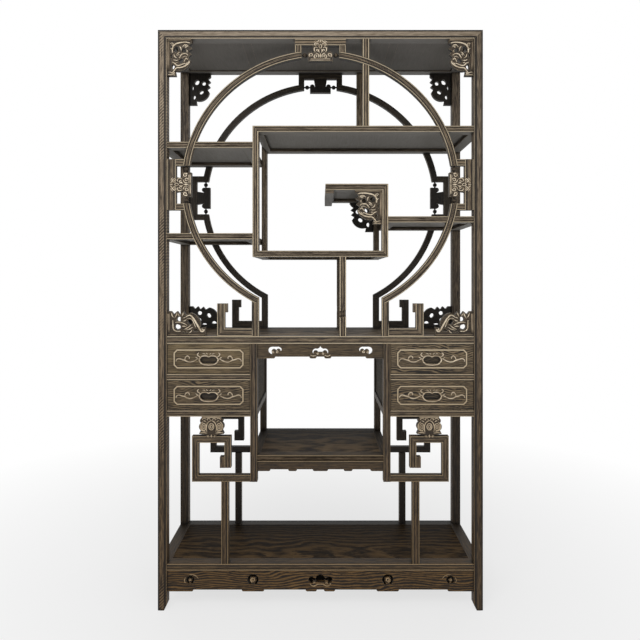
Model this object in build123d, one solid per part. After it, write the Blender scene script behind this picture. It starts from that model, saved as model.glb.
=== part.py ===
from build123d import *
import math
import os

# A Chinese curio and book cabinet in dark hardwood: a moon gate over four drawers and open shelves.
# Millimetres. The origin is on the floor, under the middle of the cabinet, and the front faces -Y.
# Front and back are alike, so most pieces are made for the front and mirrored to the back.

# Whole cabinet. Its height follows from the deck and from the moon gate over it.
width = 1100
depth = 350

# Corner posts and their feet
post = 32
foot_chamfer = 10
foot_chamfer_height = 20

# Inner posts, between the drawers and the middle bay
inner_post_width = 24
inner_post_depth = 28
middle_bay = 426

# Frame-and-panel boards
rail_width = 40
shelf_rail_width = 44
free_end_width = 34
rail_recess = 1
end_lip = 8
panel_thickness = 9
panel_drop = 0.5
top_panel_rise = 4
batten_width = 30
batten_depth = 5
tongue = 5
tongue_thickness = 4

# Heights of the boards, and the thickness of their rails
top_rail_height = 30
deck_top = 926
deck_rail_height = 26
base_top = 157
base_rail_height = 23
low_shelf_rise = 90
low_shelf_height = 23
shelf_height = 21

# Moulding on the faces of posts and rails
bead = 4
quirk = 1.5

# Joinery
fit = 0.2
tenon_thickness = 8
tenon_shoulder = 4
tenon_setback = 10
mortise_wall = 2

# Drawer case
drawer_opening = 102
case_rail = 21
case_panel = 8
case_panel_setback = 6
case_back_setback = 24
runner_width = 18
dust_board = 5

# Drawers
drawer_recess = 3
drawer_gap = 1.5
running_gap = 0.3
drawer_front = 18
drawer_side = 10
drawer_wall_height = 84
drawer_bottom = 5
drawer_bottom_lift = 8
drawer_back_gap = 6
frame_margin_level = 21
frame_margin_upright = 17.5
frame_bead_corner = 11
frame_bead = 4
frame_bead_relief = 2
grip_length = 58
grip_height = 23
grip_drop = 4
grip_depth = 11

# Moon gate, a little lower than it is wide
gate_side_gap = 49
gate_rise = 453.5
gate_top_gap = 38.6
gate_band = 22.5
gate_thickness = 20
gate_foot = 24
gate_foot_inner = 208
gate_foot_height = 117.8
hook_bar = 26
hook_length = 117
hook_height = 110
hook_nub = 9
hook_nub_height = 30

# Carved blocks that tie the gate to the top rail and to the posts
gate_block_span = 172
gate_block_strip = 22
side_block_strip = 30
carved_block_width = 82
carved_block_body = 23
carved_block_neck = 42
carved_block_curl = 9
carved_block_overhang = 15
side_block_overhang = 10.5
link_ball = 8
link_pin = 3

# Box in the middle of the gate, and the shelves round it, set out from the gate's centre
box_width = 459
box_post = 20
box_top_rise = 199
box_floor_fall = 223
spiral_rise = 3
spiral_length = 212.5
nub_width = 28
nub_drop = 12
left_upper_rise = 145
left_lower_fall = 164
right_shelf_fall = 107
divider_width = 22
divider_depth = 28
upper_divider_x = 154
lower_divider_x = 76

# Frets below the drawers, and what carries them, set out from the inner posts
fret_bar = 22.5
fret_depth = 22
fret_length = 197
fret_height = 154
fret_return = 65
fret_drop = 107
fret_hook_width = 15
fret_hook_height = 37
support_width = 24
support_depth = 28
support_offset = 74
lotus_offset = 131
lotus_width = 84
lotus_height = 66
lotus_thickness = 20

# Aprons. A lobe or a shoulder is where the lower edge lies deeper.
apron_thickness = 12
apron_recess = 5
base_apron_height = 66
centre_apron_height = 44
low_apron_height = 26
end_apron_height = 50
apron_lobe = 6
cloud_lobe_x = 31
cloud_lobe_length = 38
base_scroll_lobe = 76
centre_lobe_x = 25
centre_lobe_length = 24
centre_shoulder = 60
low_middle_lobe = 52
low_second_lobe = 30
low_second_inset = 119
low_shoulder = 44
scroll_slot = 8
scroll_sweep = 280
base_scroll_x = 228
base_scroll_radius = 15
end_scroll_inset = 78
end_scroll_radius = 10
crescent_inset = 59
crescent = (45, 28)
ogee = (54, 28)
cloud_length = 60
cloud_slot = 14
cloud_lobe = 11
cloud_curl = 6

# Corner brackets: their short side, then their long side
bracket_thickness = 16
bracket_recess = 3
top_bracket = (84, 124)
spiral_bracket = (90, 116)
deck_bracket_height = 84
deck_bracket_gap = 39

# Places worked out from the sizes above
front = -depth / 2
half_width = width / 2
bay_edge = half_width - post
rail_face = front + rail_recess
tenon_length = post - tenon_setback - tenon_thickness - mortise_wall
inner_edge = middle_bay / 2
inner_outer = inner_edge + inner_post_width
box_edge = box_width / 2
corner_posts = (post, post)
inner_posts = (inner_post_width, inner_post_depth)
gate_foot_outer = gate_foot_inner + gate_foot
hook_reach = gate_foot_outer + hook_length
gate_radius = bay_edge - gate_side_gap
gate_flattening = gate_rise / gate_radius
gate_inner_radius = gate_radius - gate_band
gate_inner_rise = gate_inner_radius * gate_flattening
foot_angle = math.degrees(math.asin(gate_foot_inner / gate_inner_radius))
foot_rise = gate_flattening * (gate_radius**2 - gate_foot_outer**2) ** 0.5
gate_centre = deck_top + gate_foot_height + foot_rise
height = gate_centre + gate_rise + gate_top_gap + top_rail_height
deck_bracket = (deck_bracket_height, bay_edge - hook_reach - deck_bracket_gap)


def level(top, thickness):
    return (top - thickness, top)


top_level = level(height, top_rail_height)
deck_level = level(deck_top, deck_rail_height)
upper_opening = level(deck_level[0], drawer_opening)
middle_rail = level(upper_opening[0], case_rail)
lower_opening = level(middle_rail[0], drawer_opening)
lower_rail = level(lower_opening[0], case_rail)
fret_top = lower_rail[0] - lotus_height
fret_bottom = fret_top - fret_height
low_shelf_level = level(fret_bottom + low_shelf_rise, low_shelf_height)
base_level = level(base_top, base_rail_height)
box_top_level = level(gate_centre + box_top_rise, shelf_height)
box_floor_level = level(gate_centre - box_floor_fall, shelf_height)
spiral_level = level(gate_centre + spiral_rise, shelf_height)
left_upper_level = level(gate_centre + left_upper_rise, shelf_height)
left_lower_level = level(gate_centre - left_lower_fall, shelf_height)
right_shelf_level = level(gate_centre - right_shelf_fall, shelf_height)
case_bay = (-bay_edge, -inner_outer)


# Simple shapes --------------------------------------------------------------------------------


def block(x, y, z):
    """A straight piece between a low and a high value along each axis."""
    size = [high - low for low, high in (x, y, z)]
    centre = [(low + high) / 2 for low, high in (x, y, z)]
    return Pos(*centre) * Box(*size)


def polygon(*points):
    return make_face(Polyline(*points, close=True))


def cut_board(outline, face, thickness):
    """A board cut to an outline drawn in X and Z, with its front at Y = face."""
    plane = Plane(origin=(0, face, 0), x_dir=(1, 0, 0), z_dir=(0, -1, 0))
    return extrude(plane * outline, amount=-thickness)


def front_wedge(*corners):
    """A triangle drawn in X and Z that runs through the whole depth of the cabinet."""
    return cut_board(polygon(*corners), -depth, 2 * depth)


def moulded_section(face_width, section_depth, beads=(True, True)):
    """Section of a moulded piece, with its crowned face at y = 0 and a bead along its edges."""
    low = bead if beads[0] else 0
    high = face_width - (bead if beads[1] else 0)
    edges = [ThreePointArc((low, quirk), ((low + high) / 2, 0), (high, quirk))]
    if beads[0]:
        edges.append(ThreePointArc((0, quirk), (bead / 2, 0), (bead, quirk)))
    if beads[1]:
        edges.append(ThreePointArc((high, quirk), (high + bead / 2, 0), (face_width, quirk)))
    back = [(face_width, quirk), (face_width, section_depth), (0, section_depth), (0, quirk)]
    edges.append(Polyline(*back))
    return make_face(Curve() + edges)


def level_bar(x, z, face, bar_depth, beads=(True, True)):
    """A moulded bar along X, with its front at Y = face."""
    plane = Plane(origin=(x[1], face, z[0]), x_dir=(0, 0, 1), z_dir=(-1, 0, 0))
    return extrude(plane * moulded_section(z[1] - z[0], bar_depth, beads), amount=x[1] - x[0])


def upright_bar(x, z, face, bar_depth, beads=(True, True)):
    """A moulded bar along Z, with its front at Y = face."""
    section = moulded_section(x[1] - x[0], bar_depth, beads)
    return extrude(Pos(x[0], face, z[0]) * section, amount=z[1] - z[0])


def end_bar(y, z, face, bar_depth, beads=(True, True)):
    """A moulded bar along Y at the left of a board, with its outer face at X = face."""
    plane = Plane(origin=(face, y[0], z[0]), x_dir=(0, 0, 1), z_dir=(0, 1, 0))
    return extrude(plane * moulded_section(z[1] - z[0], bar_depth, beads), amount=y[1] - y[0])


def corner_waste(inner, outer):
    """What a mitre from an inner to an outer corner takes off the upright and off the level piece."""
    upright = front_wedge(inner, outer, (inner[0], outer[1]))
    level_piece = front_wedge(inner, outer, (outer[0], inner[1]))
    return upright, level_piece


def mitred_bars(points, bar, face, bar_depth):
    """Moulded bars along a route of level and upright runs in X and Z, mitred where it turns."""
    half = bar / 2
    pieces = []
    for start, end in zip(points[:-1], points[1:]):
        is_level = start[1] == end[1]
        along, across = (0, 1) if is_level else (1, 0)
        ends = sorted((start, end), key=lambda point: point[along])
        free = [point in (points[0], points[-1]) for point in ends]
        run = (ends[0][along] - half * (not free[0]), ends[1][along] + half * (not free[1]))
        wide = (start[across] - half, start[across] + half)
        if is_level:
            pieces.append(level_bar(run, wide, face, bar_depth))
        else:
            pieces.append(upright_bar(wide, run, face, bar_depth))
    for place in range(1, len(points) - 1):
        before, corner, after = (Vector(*point) for point in points[place - 1:place + 2])
        arriving = (corner - before).normalized() * half
        leaving = (after - corner).normalized() * half
        inner = corner - arriving + leaving
        outer = corner + arriving - leaving
        waste = corner_waste((inner.X, inner.Y), (outer.X, outer.Y))
        arrives_level = points[place - 1][1] == points[place][1]
        pieces[place - 1] -= waste[1 if arrives_level else 0]
        pieces[place] -= waste[0 if arrives_level else 1]
    return pieces


def to_back(pieces):
    return [mirror(piece, about=Plane.XZ) for piece in pieces]


def to_right(pieces):
    return [mirror(piece, about=Plane.YZ) for piece in pieces]


def both_faces(pieces):
    return pieces + to_back(pieces)


def both_sides(pieces):
    return pieces + to_right(pieces)


def save(name, pieces):
    solids = [solid for piece in pieces for solid in piece.solids()]
    export_step(Compound(label=name, children=solids), f"parts/{name}.step")


# Tenons, each made again a little larger as its mortise ---------------------------------------


def front_tenon(shoulder, tip, z, grow=0):
    """Stub tenon of a front rail, between the X of its shoulder and the X of its tip."""
    y = front + tenon_setback
    return block(
        (min(shoulder, tip) - grow, max(shoulder, tip) + grow),
        (y - grow, y + tenon_thickness + grow),
        (z[0] + tenon_shoulder - grow, z[1] - tenon_shoulder + grow),
    )


def end_tenon(z, grow=0):
    """Stub tenon of a left end rail in the front corner post."""
    x = -half_width + tenon_setback
    y = front + post
    return block(
        (x - grow, x + tenon_thickness + grow),
        (y - tenon_length - grow, y + grow),
        (z[0] + tenon_shoulder - grow, z[1] - tenon_shoulder + grow),
    )


# Framed boards --------------------------------------------------------------------------------


def panel_set(inner_x, y_in, z, battens, thickness=panel_thickness):
    """The panel inside a frame, the groove it needs, and the battens let in flush under it."""
    panel_under = z[1] - panel_drop - thickness
    tongue_low = panel_under + (thickness - tongue_thickness) / 2
    tongue_and_groove = [
        block(
            (inner_x[0] - tongue - grow, inner_x[1] + tongue + grow),
            (-y_in - tongue - grow, y_in + tongue + grow),
            (tongue_low - grow, tongue_low + tongue_thickness + grow),
        )
        for grow in (0, fit)
    ]
    panel = block(inner_x, (-y_in, y_in), (panel_under, z[1] - panel_drop)) + tongue_and_groove[0]
    spacing = (inner_x[1] - inner_x[0]) / (battens + 1)
    centres = [inner_x[0] + spacing * (place + 1) for place in range(battens)]
    batten_z = (panel_under, panel_under + batten_depth)
    bars = [
        block((x - batten_width / 2, x + batten_width / 2), (-y_in, y_in), batten_z)
        for x in centres
    ]
    for bar in bars:
        panel -= bar
    return panel, tongue_and_groove[1], bars


def end_rail(edge, z, y_in, posts):
    """Left end rail of a board whose long rails start at X = edge.

    Between two posts, given as their (width, depth), it runs from post to post. At a free end it
    lies between the long rails.
    """
    if posts is None:
        return end_bar((-y_in, y_in), z, edge, free_end_width)
    reach = posts[0] - rail_recess
    y_out = depth / 2 - posts[1]
    rail = end_bar((-y_out, y_out), z, edge - reach, reach)
    rail += block((edge, edge + end_lip), (-y_in, y_in), z)
    if posts == corner_posts:
        rail += end_tenon(z) + mirror(end_tenon(z), about=Plane.XZ)
    return rail


def framed_board(x, z, long_width, left_posts=None, right_posts=None, battens=1):
    """A panel tongued into two long rails and two end rails."""
    y_in = -(rail_face + long_width)
    inner_x = (
        x[0] + (end_lip if left_posts else free_end_width),
        x[1] - (end_lip if right_posts else free_end_width),
    )
    panel, groove, bars = panel_set(inner_x, y_in, z, battens)
    front_rail = level_bar(x, z, rail_face, long_width) - groove
    if left_posts:
        front_rail += front_tenon(x[0], x[0] - tenon_length, z)
    if right_posts:
        front_rail += front_tenon(x[1], x[1] + tenon_length, z)
    ends = [
        end_rail(x[0], z, y_in, left_posts) - groove,
        mirror(end_rail(-x[1], z, y_in, right_posts), about=Plane.YZ) - groove,
    ]
    return {"long": both_faces([front_rail]), "ends": ends, "panel": [panel], "battens": bars}


def pieces_of(board):
    return board["long"] + board["ends"] + board["panel"] + board["battens"]


def top_board():
    """The top, whose rails run over the posts and are mitred at the corners."""
    y_in = -(rail_face + rail_width)
    inner_x = (-bay_edge + end_lip, bay_edge - end_lip)
    thickness = top_rail_height - panel_drop - top_panel_rise
    panel, groove, bars = panel_set(inner_x, y_in, top_level, 3, thickness)
    outer, inner = (-half_width, front), (inner_x[0], -y_in)
    front_waste = extrude(polygon(outer, inner, (outer[0], inner[1])), amount=2 * height)
    end_waste = extrude(polygon(outer, inner, (inner[0], outer[1])), amount=2 * height)
    beads = (True, False)
    front_rail = level_bar((-half_width, half_width), top_level, front, -y_in - front, beads) - groove
    for cut in both_sides([front_waste, corner_waste(*top_corner)[1]]):
        front_rail -= cut
    left_rail = end_bar((front, -front), top_level, -half_width, inner_x[0] + half_width, beads) - groove
    for cut in both_faces([end_waste, top_end_waste()[1]]):
        left_rail -= cut
    return {
        "long": both_faces([front_rail]),
        "ends": both_sides([left_rail]),
        "panel": [panel],
        "battens": bars,
    }


top_corner = ((-bay_edge, top_level[0]), (-half_width, height))


def top_end_waste():
    """The mitre of the front left corner seen from the end: what it takes off post and end rail."""
    plane = Plane.YZ.offset(-width)
    inner, outer = (front + post, top_level[0]), (front, height)
    return [
        extrude(plane * polygon(inner, outer, third), amount=2 * width)
        for third in ((inner[0], outer[1]), (outer[0], inner[1]))
    ]


# Posts ----------------------------------------------------------------------------------------


def corner_post(shelf_levels):
    """The front left corner post, mortised for its rails and for the shelves on its side."""
    face = upright_bar((-half_width, -bay_edge), (0, height), front, post, (False, True))
    side_plane = Plane(origin=(-half_width, front, height), x_dir=(0, 1, 0), z_dir=(0, 0, -1))
    side = extrude(side_plane * moulded_section(post, post, (False, True)), amount=height)
    piece = face & side
    piece -= corner_waste(*top_corner)[0]
    piece -= top_end_waste()[0]
    piece -= front_wedge((-bay_edge, 0), (-bay_edge - foot_chamfer, 0), (-bay_edge, foot_chamfer_height))
    for z in [deck_level, middle_rail, lower_rail, base_level] + shelf_levels:
        piece -= front_tenon(-bay_edge, -bay_edge - tenon_length, z, fit)
    for z in [deck_level, lower_rail, base_level] + shelf_levels:
        piece -= end_tenon(z, fit)
    return piece


def inner_post():
    """The front left inner post, from the deck down to the foot of the fret."""
    piece = upright_bar((-inner_outer, -inner_edge), (fret_bottom, deck_level[0]), front, inner_post_depth)
    for z in (middle_rail, lower_rail):
        piece -= front_tenon(-inner_outer, -inner_outer + tenon_length, z, fit)
    piece -= front_tenon(-inner_edge, -inner_edge - tenon_length, low_shelf_level, fit)
    return piece


# Drawer case ----------------------------------------------------------------------------------


def case_long_rails():
    """Front and back rails under each drawer of the left bay."""
    rails = []
    for z in (middle_rail, lower_rail):
        rail = level_bar(case_bay, z, rail_face, rail_width)
        rail += front_tenon(case_bay[0], case_bay[0] - tenon_length, z)
        rail += front_tenon(case_bay[1], case_bay[1] + tenon_length, z)
        rails.append(rail)
    return both_faces(rails)


def case_end_rails():
    """Rails along Y at the bottom of the left bay, between the corner posts and the inner posts."""
    y_outer = -front - post
    outer = end_bar((-y_outer, y_outer), lower_rail, -half_width + rail_recess, post - rail_recess)
    outer += end_tenon(lower_rail) + mirror(end_tenon(lower_rail), about=Plane.XZ)
    y_inner = -front - inner_post_depth
    inner = end_bar((-y_inner, y_inner), lower_rail, inner_edge, inner_post_width)
    return [outer, mirror(inner, about=Plane.YZ)]


def case_panels():
    """Side panels and back panels of the left bay."""
    z = (lower_rail[1], deck_level[0])
    y_outer = -front - post
    y_inner = -front - inner_post_depth
    x_outer = -half_width + case_panel_setback
    x_inner = -inner_edge - case_panel_setback
    y_back = -front - case_back_setback - case_panel
    sides = [
        block((x_outer, x_outer + case_panel), (-y_outer, y_outer), z),
        block((x_inner - case_panel, x_inner), (-y_inner, y_inner), z),
    ]
    backs = [block(case_bay, (y_back, y_back + case_panel), z) for z in (upper_opening, lower_opening)]
    return sides, backs


def runners():
    """The strips that each drawer of the left bay slides on, between the front and back rails."""
    y_in = -(rail_face + rail_width)
    x_outer = -half_width + case_panel_setback + case_panel
    x_inner = -inner_edge - case_panel_setback - case_panel
    strips = []
    for z, left, right in ((middle_rail, x_outer, x_inner), (lower_rail, -bay_edge, -inner_outer)):
        strips.append(block((left, -bay_edge + runner_width), (-y_in, y_in), z))
        strips.append(block((-inner_outer - runner_width, right), (-y_in, y_in), z))
    return strips


def dust_boards():
    """Thin boards between the runners, under each drawer of the left bay."""
    y_in = -(rail_face + rail_width)
    x = (-bay_edge + runner_width, -inner_outer - runner_width)
    boards = []
    for z in (middle_rail, lower_rail):
        middle = (z[0] + z[1]) / 2
        boards.append(block(x, (-y_in, y_in), (middle - dust_board / 2, middle + dust_board / 2)))
    return boards


# Drawers --------------------------------------------------------------------------------------


def frame_bead_outline(front_width, front_height, inset):
    """The oblong with cut corners that frames the carving of a drawer front, centred on it."""
    x = front_width / 2 - frame_margin_level - inset
    z = front_height / 2 - frame_margin_upright - inset
    cut = frame_bead_corner - inset * (2 - 2**0.5)
    corners = [(x, z - cut), (x - cut, z), (cut - x, z), (-x, z - cut)]
    return polygon(*corners, *[(-a, -b) for a, b in corners])


def drawer(opening):
    """The front, the walls and the bottom of the left drawer in an opening."""
    x = (case_bay[0] + drawer_gap, case_bay[1] - drawer_gap)
    z = (opening[0] + drawer_gap, opening[1] - drawer_gap)
    face = front + drawer_recess
    centre = Pos((x[0] + x[1]) / 2, (z[0] + z[1]) / 2)
    size = (x[1] - x[0], z[1] - z[0])
    front_panel = block(x, (face, face + drawer_front), z)
    raised = centre * (frame_bead_outline(*size, 0) - frame_bead_outline(*size, frame_bead))
    front_panel += cut_board(raised, face - frame_bead_relief, frame_bead_relief)
    grip = centre * Pos(0, -grip_drop) * SlotOverall(grip_length, grip_height)
    front_panel -= cut_board(grip, face, grip_depth)

    inside_front = face + drawer_front
    wall_back = -front - case_back_setback - case_panel - drawer_back_gap
    wall_z = (opening[0] + running_gap, opening[0] + running_gap + drawer_wall_height)
    bottom_z = (wall_z[0] + drawer_bottom_lift, wall_z[0] + drawer_bottom_lift + drawer_bottom)
    inside_x = (x[0] + drawer_side, x[1] - drawer_side)
    walls = [
        block((x[0], inside_x[0]), (inside_front, wall_back), wall_z),
        block((inside_x[1], x[1]), (inside_front, wall_back), wall_z),
        block(inside_x, (wall_back - drawer_side, wall_back), (bottom_z[1], wall_z[1])),
    ]
    bottom = block(inside_x, (inside_front, wall_back), bottom_z)
    return {"front": [front_panel], "walls": walls, "bottom": [bottom]}


# Moon gate ------------------------------------------------------------------------------------


def gate_oval(level_half, upright_half, face, thickness):
    """A board with the outline of an oval round the gate's centre, given by its two half sizes."""
    return cut_board(Pos(0, gate_centre) * Ellipse(level_half, upright_half), face, thickness)


def gate_space():
    """The room that the front and back rings take in the rails that cross them."""
    thickness = rail_recess + gate_thickness + fit
    ring = gate_oval(gate_radius + fit, gate_rise + fit, front, thickness)
    ring -= gate_oval(gate_inner_radius - fit, gate_inner_rise - fit, front, thickness)
    return both_faces([ring])


def gate_arc(turn, sweep):
    """An arc of the front ring from its right side, up with a turn of -1 or down with a turn of 1.

    It is made round, about the origin, and then gets the height of the oval gate.
    """
    section = Pos(gate_inner_radius, rail_face) * moulded_section(gate_band, gate_thickness)
    arc = revolve(section, Axis((0, 0, 0), (0, turn, 0)), sweep)
    return Pos(0, 0, gate_centre) * scale(arc, by=(1, 1, gate_flattening))


def gate_ring():
    """The four arcs of the front ring, with gaps for the carved blocks and between the feet."""
    gap = gate_block_span / 2 - gate_block_strip
    all_depth = (front - bead, -front)
    side_gap = block((0, gate_radius + bead), all_depth, (gate_centre - gap, gate_centre + gap))
    top_gap = block((-gap, gap), all_depth, (gate_centre, height))
    upper = gate_arc(-1, 90) - side_gap - top_gap
    lower = gate_arc(1, 90 - foot_angle) - side_gap
    return both_sides([upper, lower])


def gate_feet():
    """The left foot of the ring, and the hook that stands beside it on the deck."""
    foot_x = (-gate_foot_outer, -gate_foot_inner)
    foot = upright_bar(foot_x, (deck_top, gate_centre), rail_face, gate_thickness)
    level_reach = gate_centre * math.tan(math.radians(foot_angle)) / gate_flattening
    beyond_ring_end = front_wedge((0, gate_centre), (-level_reach, 0), (-width, gate_centre))
    foot -= gate_oval(gate_radius, gate_rise, front, depth) & beyond_ring_end
    bar_z = deck_top + hook_bar / 2
    bar_x = -hook_reach + hook_bar / 2
    route = [(foot_x[0], bar_z), (bar_x, bar_z), (bar_x, deck_top + hook_height)]
    nub_x = (-hook_reach + hook_bar, -hook_reach + hook_bar + hook_nub)
    nub_z = (deck_top + hook_height - hook_nub_height, deck_top + hook_height)
    nub = block(nub_x, (rail_face, rail_face + gate_thickness), nub_z)
    return [foot] + mitred_bars(route, hook_bar, rail_face, gate_thickness) + [nub]


def gate_block(ring_half, reach, strip, overhang):
    """A carved block of the ring in its place over the gate's centre, with the frame that holds it.

    Ring_half holds the half sizes of the ring, across and along the block's own axis. Reach is the
    distance from the gate's centre to what the frame is fixed to.
    """
    half_span = gate_block_span / 2
    fixed = (gate_centre + reach - strip, gate_centre + reach)
    frame = [level_bar((-half_span, half_span), fixed, rail_face, gate_thickness)]
    leg_x = (-half_span, -half_span + gate_block_strip)
    leg = upright_bar(leg_x, (gate_centre, fixed[0]), rail_face, gate_thickness)
    frame += both_sides([leg - gate_oval(*ring_half, front, depth)])

    half_block = carved_block_width / 2
    ring_inside = gate_centre + ring_half[1] * gate_inner_radius / gate_radius
    low = ring_inside - overhang
    shoulder = low + carved_block_body
    neck_low = carved_block_neck / 2
    neck_high = neck_low + carved_block_curl / 2
    outline = Pos(0, (low + shoulder) / 2) * Rectangle(carved_block_width, carved_block_body)
    right_neck = [(neck_low, shoulder), (neck_high, fixed[0])]
    outline += polygon(*right_neck, *[(-x, z) for x, z in reversed(right_neck)])
    for side in (-1, 1):
        outline += Pos(side * (half_block - carved_block_curl), shoulder) * Circle(carved_block_curl)
    carved = [cut_board(outline, rail_face, gate_thickness)]

    ball_x = (half_block + half_span - gate_block_strip) / 2
    ball_z = ring_inside + gate_band / 2 - link_ball / 2
    ball_y = rail_face + gate_thickness / 2
    pin_turn = Rot(0, 90, 0)
    pin = pin_turn * Cylinder(link_pin, half_span - gate_block_strip - half_block)
    link = Pos(-ball_x, ball_y, ball_z) * (Sphere(link_ball) + pin)
    return frame, carved + both_sides([link])


def turned(pieces, angle):
    """Pieces turned about the gate's centre, seen from the front."""
    about_centre = Pos(0, 0, gate_centre) * Rot(0, angle, 0) * Pos(0, 0, -gate_centre)
    return [about_centre * piece for piece in pieces]


def gate_blocks():
    """The frames and the carved blocks at the top, left and right of the front ring."""
    top_ring = (gate_radius, gate_rise)
    side_ring = (gate_rise, gate_radius)
    top_reach = top_level[0] - gate_centre
    frames, carved = gate_block(top_ring, top_reach, gate_block_strip, carved_block_overhang)
    side_frame, side_carved = gate_block(side_ring, bay_edge, side_block_strip, side_block_overhang)
    for angle in (-90, 90):
        frames = frames + turned(side_frame, angle)
        carved = carved + turned(side_carved, angle)
    return frames, carved


# Box and shelves inside the gate --------------------------------------------------------------


def box_corner(side, z, top):
    """Inner and outer corner of the box where a post meets a shelf at its top or at its floor."""
    inner_z, outer_z = (z[0], z[1]) if top else (z[1], z[0])
    return (side * (box_edge - box_post), inner_z), (side * box_edge, outer_z)


left_top = box_corner(-1, box_top_level, True)
left_floor = box_corner(-1, box_floor_level, False)
right_floor = box_corner(1, box_floor_level, False)
right_top = box_corner(1, spiral_level, True)


def box_posts():
    """The left and right posts of the box, mitred to the shelves they meet."""
    left_z = (box_floor_level[0], box_top_level[1])
    left = upright_bar((-box_edge, -box_edge + box_post), left_z, rail_face, shelf_rail_width)
    right_z = (box_floor_level[0], spiral_level[1])
    right = upright_bar((box_edge - box_post, box_edge), right_z, rail_face, shelf_rail_width)
    left = left - corner_waste(*left_top)[0] - corner_waste(*left_floor)[0]
    right = right - corner_waste(*right_top)[0] - corner_waste(*right_floor)[0]
    return both_faces([left, right])


def mitred(board, *corners):
    """A framed board with its long rails mitred at the given corners of the box."""
    for corner in corners:
        waste = corner_waste(*corner)[1]
        board["long"] = [rail - waste for rail in board["long"]]
        board["ends"] = [rail - waste for rail in board["ends"]]
    return board


def notched(pieces):
    """Pieces with room for the rings where they cross them."""
    rings = gate_space()
    return [piece - rings[0] - rings[1] for piece in pieces]


def shelf(x, z, left_posts=None, right_posts=None, battens=1):
    return framed_board(x, z, shelf_rail_width, left_posts, right_posts, battens)


def long_shelf():
    board = mitred(shelf((-box_edge, bay_edge), box_top_level, None, corner_posts, 3), left_top)
    board["long"] = notched(board["long"])
    return pieces_of(board)


def spiral_shelf():
    """The shelf that ends inside the box, with a nub under its free end."""
    left = box_edge - spiral_length
    board = mitred(shelf((left, box_edge), spiral_level), right_top)
    nub_z = (spiral_level[0] - nub_drop, spiral_level[0])
    nub = block((left, left + nub_width), (rail_face, -rail_face), nub_z)
    return pieces_of(board) + [nub]


def side_shelf(x, z, left_posts=None, right_posts=None):
    board = shelf(x, z, left_posts, right_posts)
    board["long"] = notched(board["long"])
    return pieces_of(board)


def divider_posts():
    """Front posts over the long shelf and under the box."""
    posts = []
    for middle, z in (
        (upper_divider_x, (box_top_level[1], top_level[0])),
        (lower_divider_x, (deck_top, box_floor_level[0])),
    ):
        x = (middle - divider_width / 2, middle + divider_width / 2)
        posts.append(upright_bar(x, z, rail_face, divider_depth))
    return both_faces(notched(posts))


# Frets under the drawers ----------------------------------------------------------------------


def fret():
    """The front left key fret, made of bars, with the small hook on its free end."""
    half = fret_bar / 2
    bottom = fret_bottom + half
    outer = -inner_outer - fret_length + half
    top = fret_top - half
    drop = -inner_outer - fret_return - half
    drop_end = fret_top - fret_drop
    route = [(-inner_outer, bottom), (outer, bottom), (outer, top), (drop, top), (drop, drop_end)]
    hook_x = (drop - half - fret_hook_width, drop - half)
    hook = block(hook_x, (rail_face, rail_face + fret_depth), (drop_end, drop_end + fret_hook_height))
    return mitred_bars(route, fret_bar, rail_face, fret_depth) + [hook]


def fret_support():
    right = -inner_outer - support_offset
    return upright_bar((right - support_width, right), (base_top, fret_bottom), rail_face, support_depth)


def lotus_block():
    """The lotus on its stem between the fret and the rail of the case."""

    def place(u, v):
        return u * lotus_width / 2, fret_top + v * lotus_height

    right_side = [
        Line(place(0.38, 0), place(0.38, 0.06)),
        Line(place(0.38, 0.06), place(1, 0.12)),
        Line(place(1, 0.12), place(0.86, 0.3)),
        ThreePointArc(place(0.86, 0.3), place(1, 0.46), place(0.85, 0.68)),
        ThreePointArc(place(0.85, 0.68), place(0.92, 0.8), place(0.79, 0.93)),
        Line(place(0.79, 0.93), place(0.79, 1)),
    ]
    left_side = [mirror(edge, about=Plane.YZ) for edge in right_side]
    closing = [Line(place(0.79, 1), place(-0.79, 1)), Line(place(0.38, 0), place(-0.38, 0))]
    outline = make_face(Curve() + right_side + left_side + closing)
    return Pos(-inner_outer - lotus_offset, 0, 0) * cut_board(outline, rail_face, lotus_thickness)


# Aprons ---------------------------------------------------------------------------------------


def lobe(start, end, z):
    """A shallow lobe below a straight lower edge, with a flat bottom and rounded ends."""
    low = z - apron_lobe
    edge = [
        RadiusArc((start, z), (start + apron_lobe, low), -apron_lobe),
        Line((start + apron_lobe, low), (end - apron_lobe, low)),
        RadiusArc((end - apron_lobe, low), (end, z), -apron_lobe),
        Line((end, z), (start, z)),
    ]
    return make_face(Curve() + edge)


def scroll_cut(x, z, radius):
    """A C-shaped slot that opens down."""
    start = 90 - scroll_sweep / 2
    return SlotArc(CenterArc((x, z), radius, start, scroll_sweep), scroll_slot)


def cloud_cut():
    """The pierced cloud of the base apron, with a curl that stands up into each of its ends."""
    outline = SlotCenterToCenter(cloud_length, cloud_slot)
    for side in (-1, 1):
        outline += Pos(side * cloud_length / 2, 0) * Circle(cloud_lobe)
    outline += Pos(0, cloud_slot / 2) * Ellipse(cloud_length / 4, cloud_lobe)
    for side in (-1, 1):
        outline -= Pos(side * cloud_length / 3, -cloud_slot / 2) * Circle(cloud_curl)
    return outline


def crescent_cut(x, z, side):
    """A pierced crescent over two curls, with its open end to the outside."""

    def place(u, v):
        return x - side * u * crescent[0] / 2, z + v * crescent[1] / 2

    edge = [
        ThreePointArc(place(-0.4, -1), place(-0.98, -0.25), place(-0.5, 0.8)),
        ThreePointArc(place(-0.5, 0.8), place(0.15, 1), place(0.75, 0.7)),
        ThreePointArc(place(0.75, 0.7), place(1, 0.2), place(0.85, -0.3)),
        ThreePointArc(place(0.85, -0.3), place(0.5, 0.3), place(0.18, -0.2)),
        ThreePointArc(place(0.18, -0.2), place(-0.18, 0.25), place(-0.5, -0.2)),
        Line(place(-0.5, -0.2), place(-0.4, -1)),
    ]
    return make_face(Curve() + edge)


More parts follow.
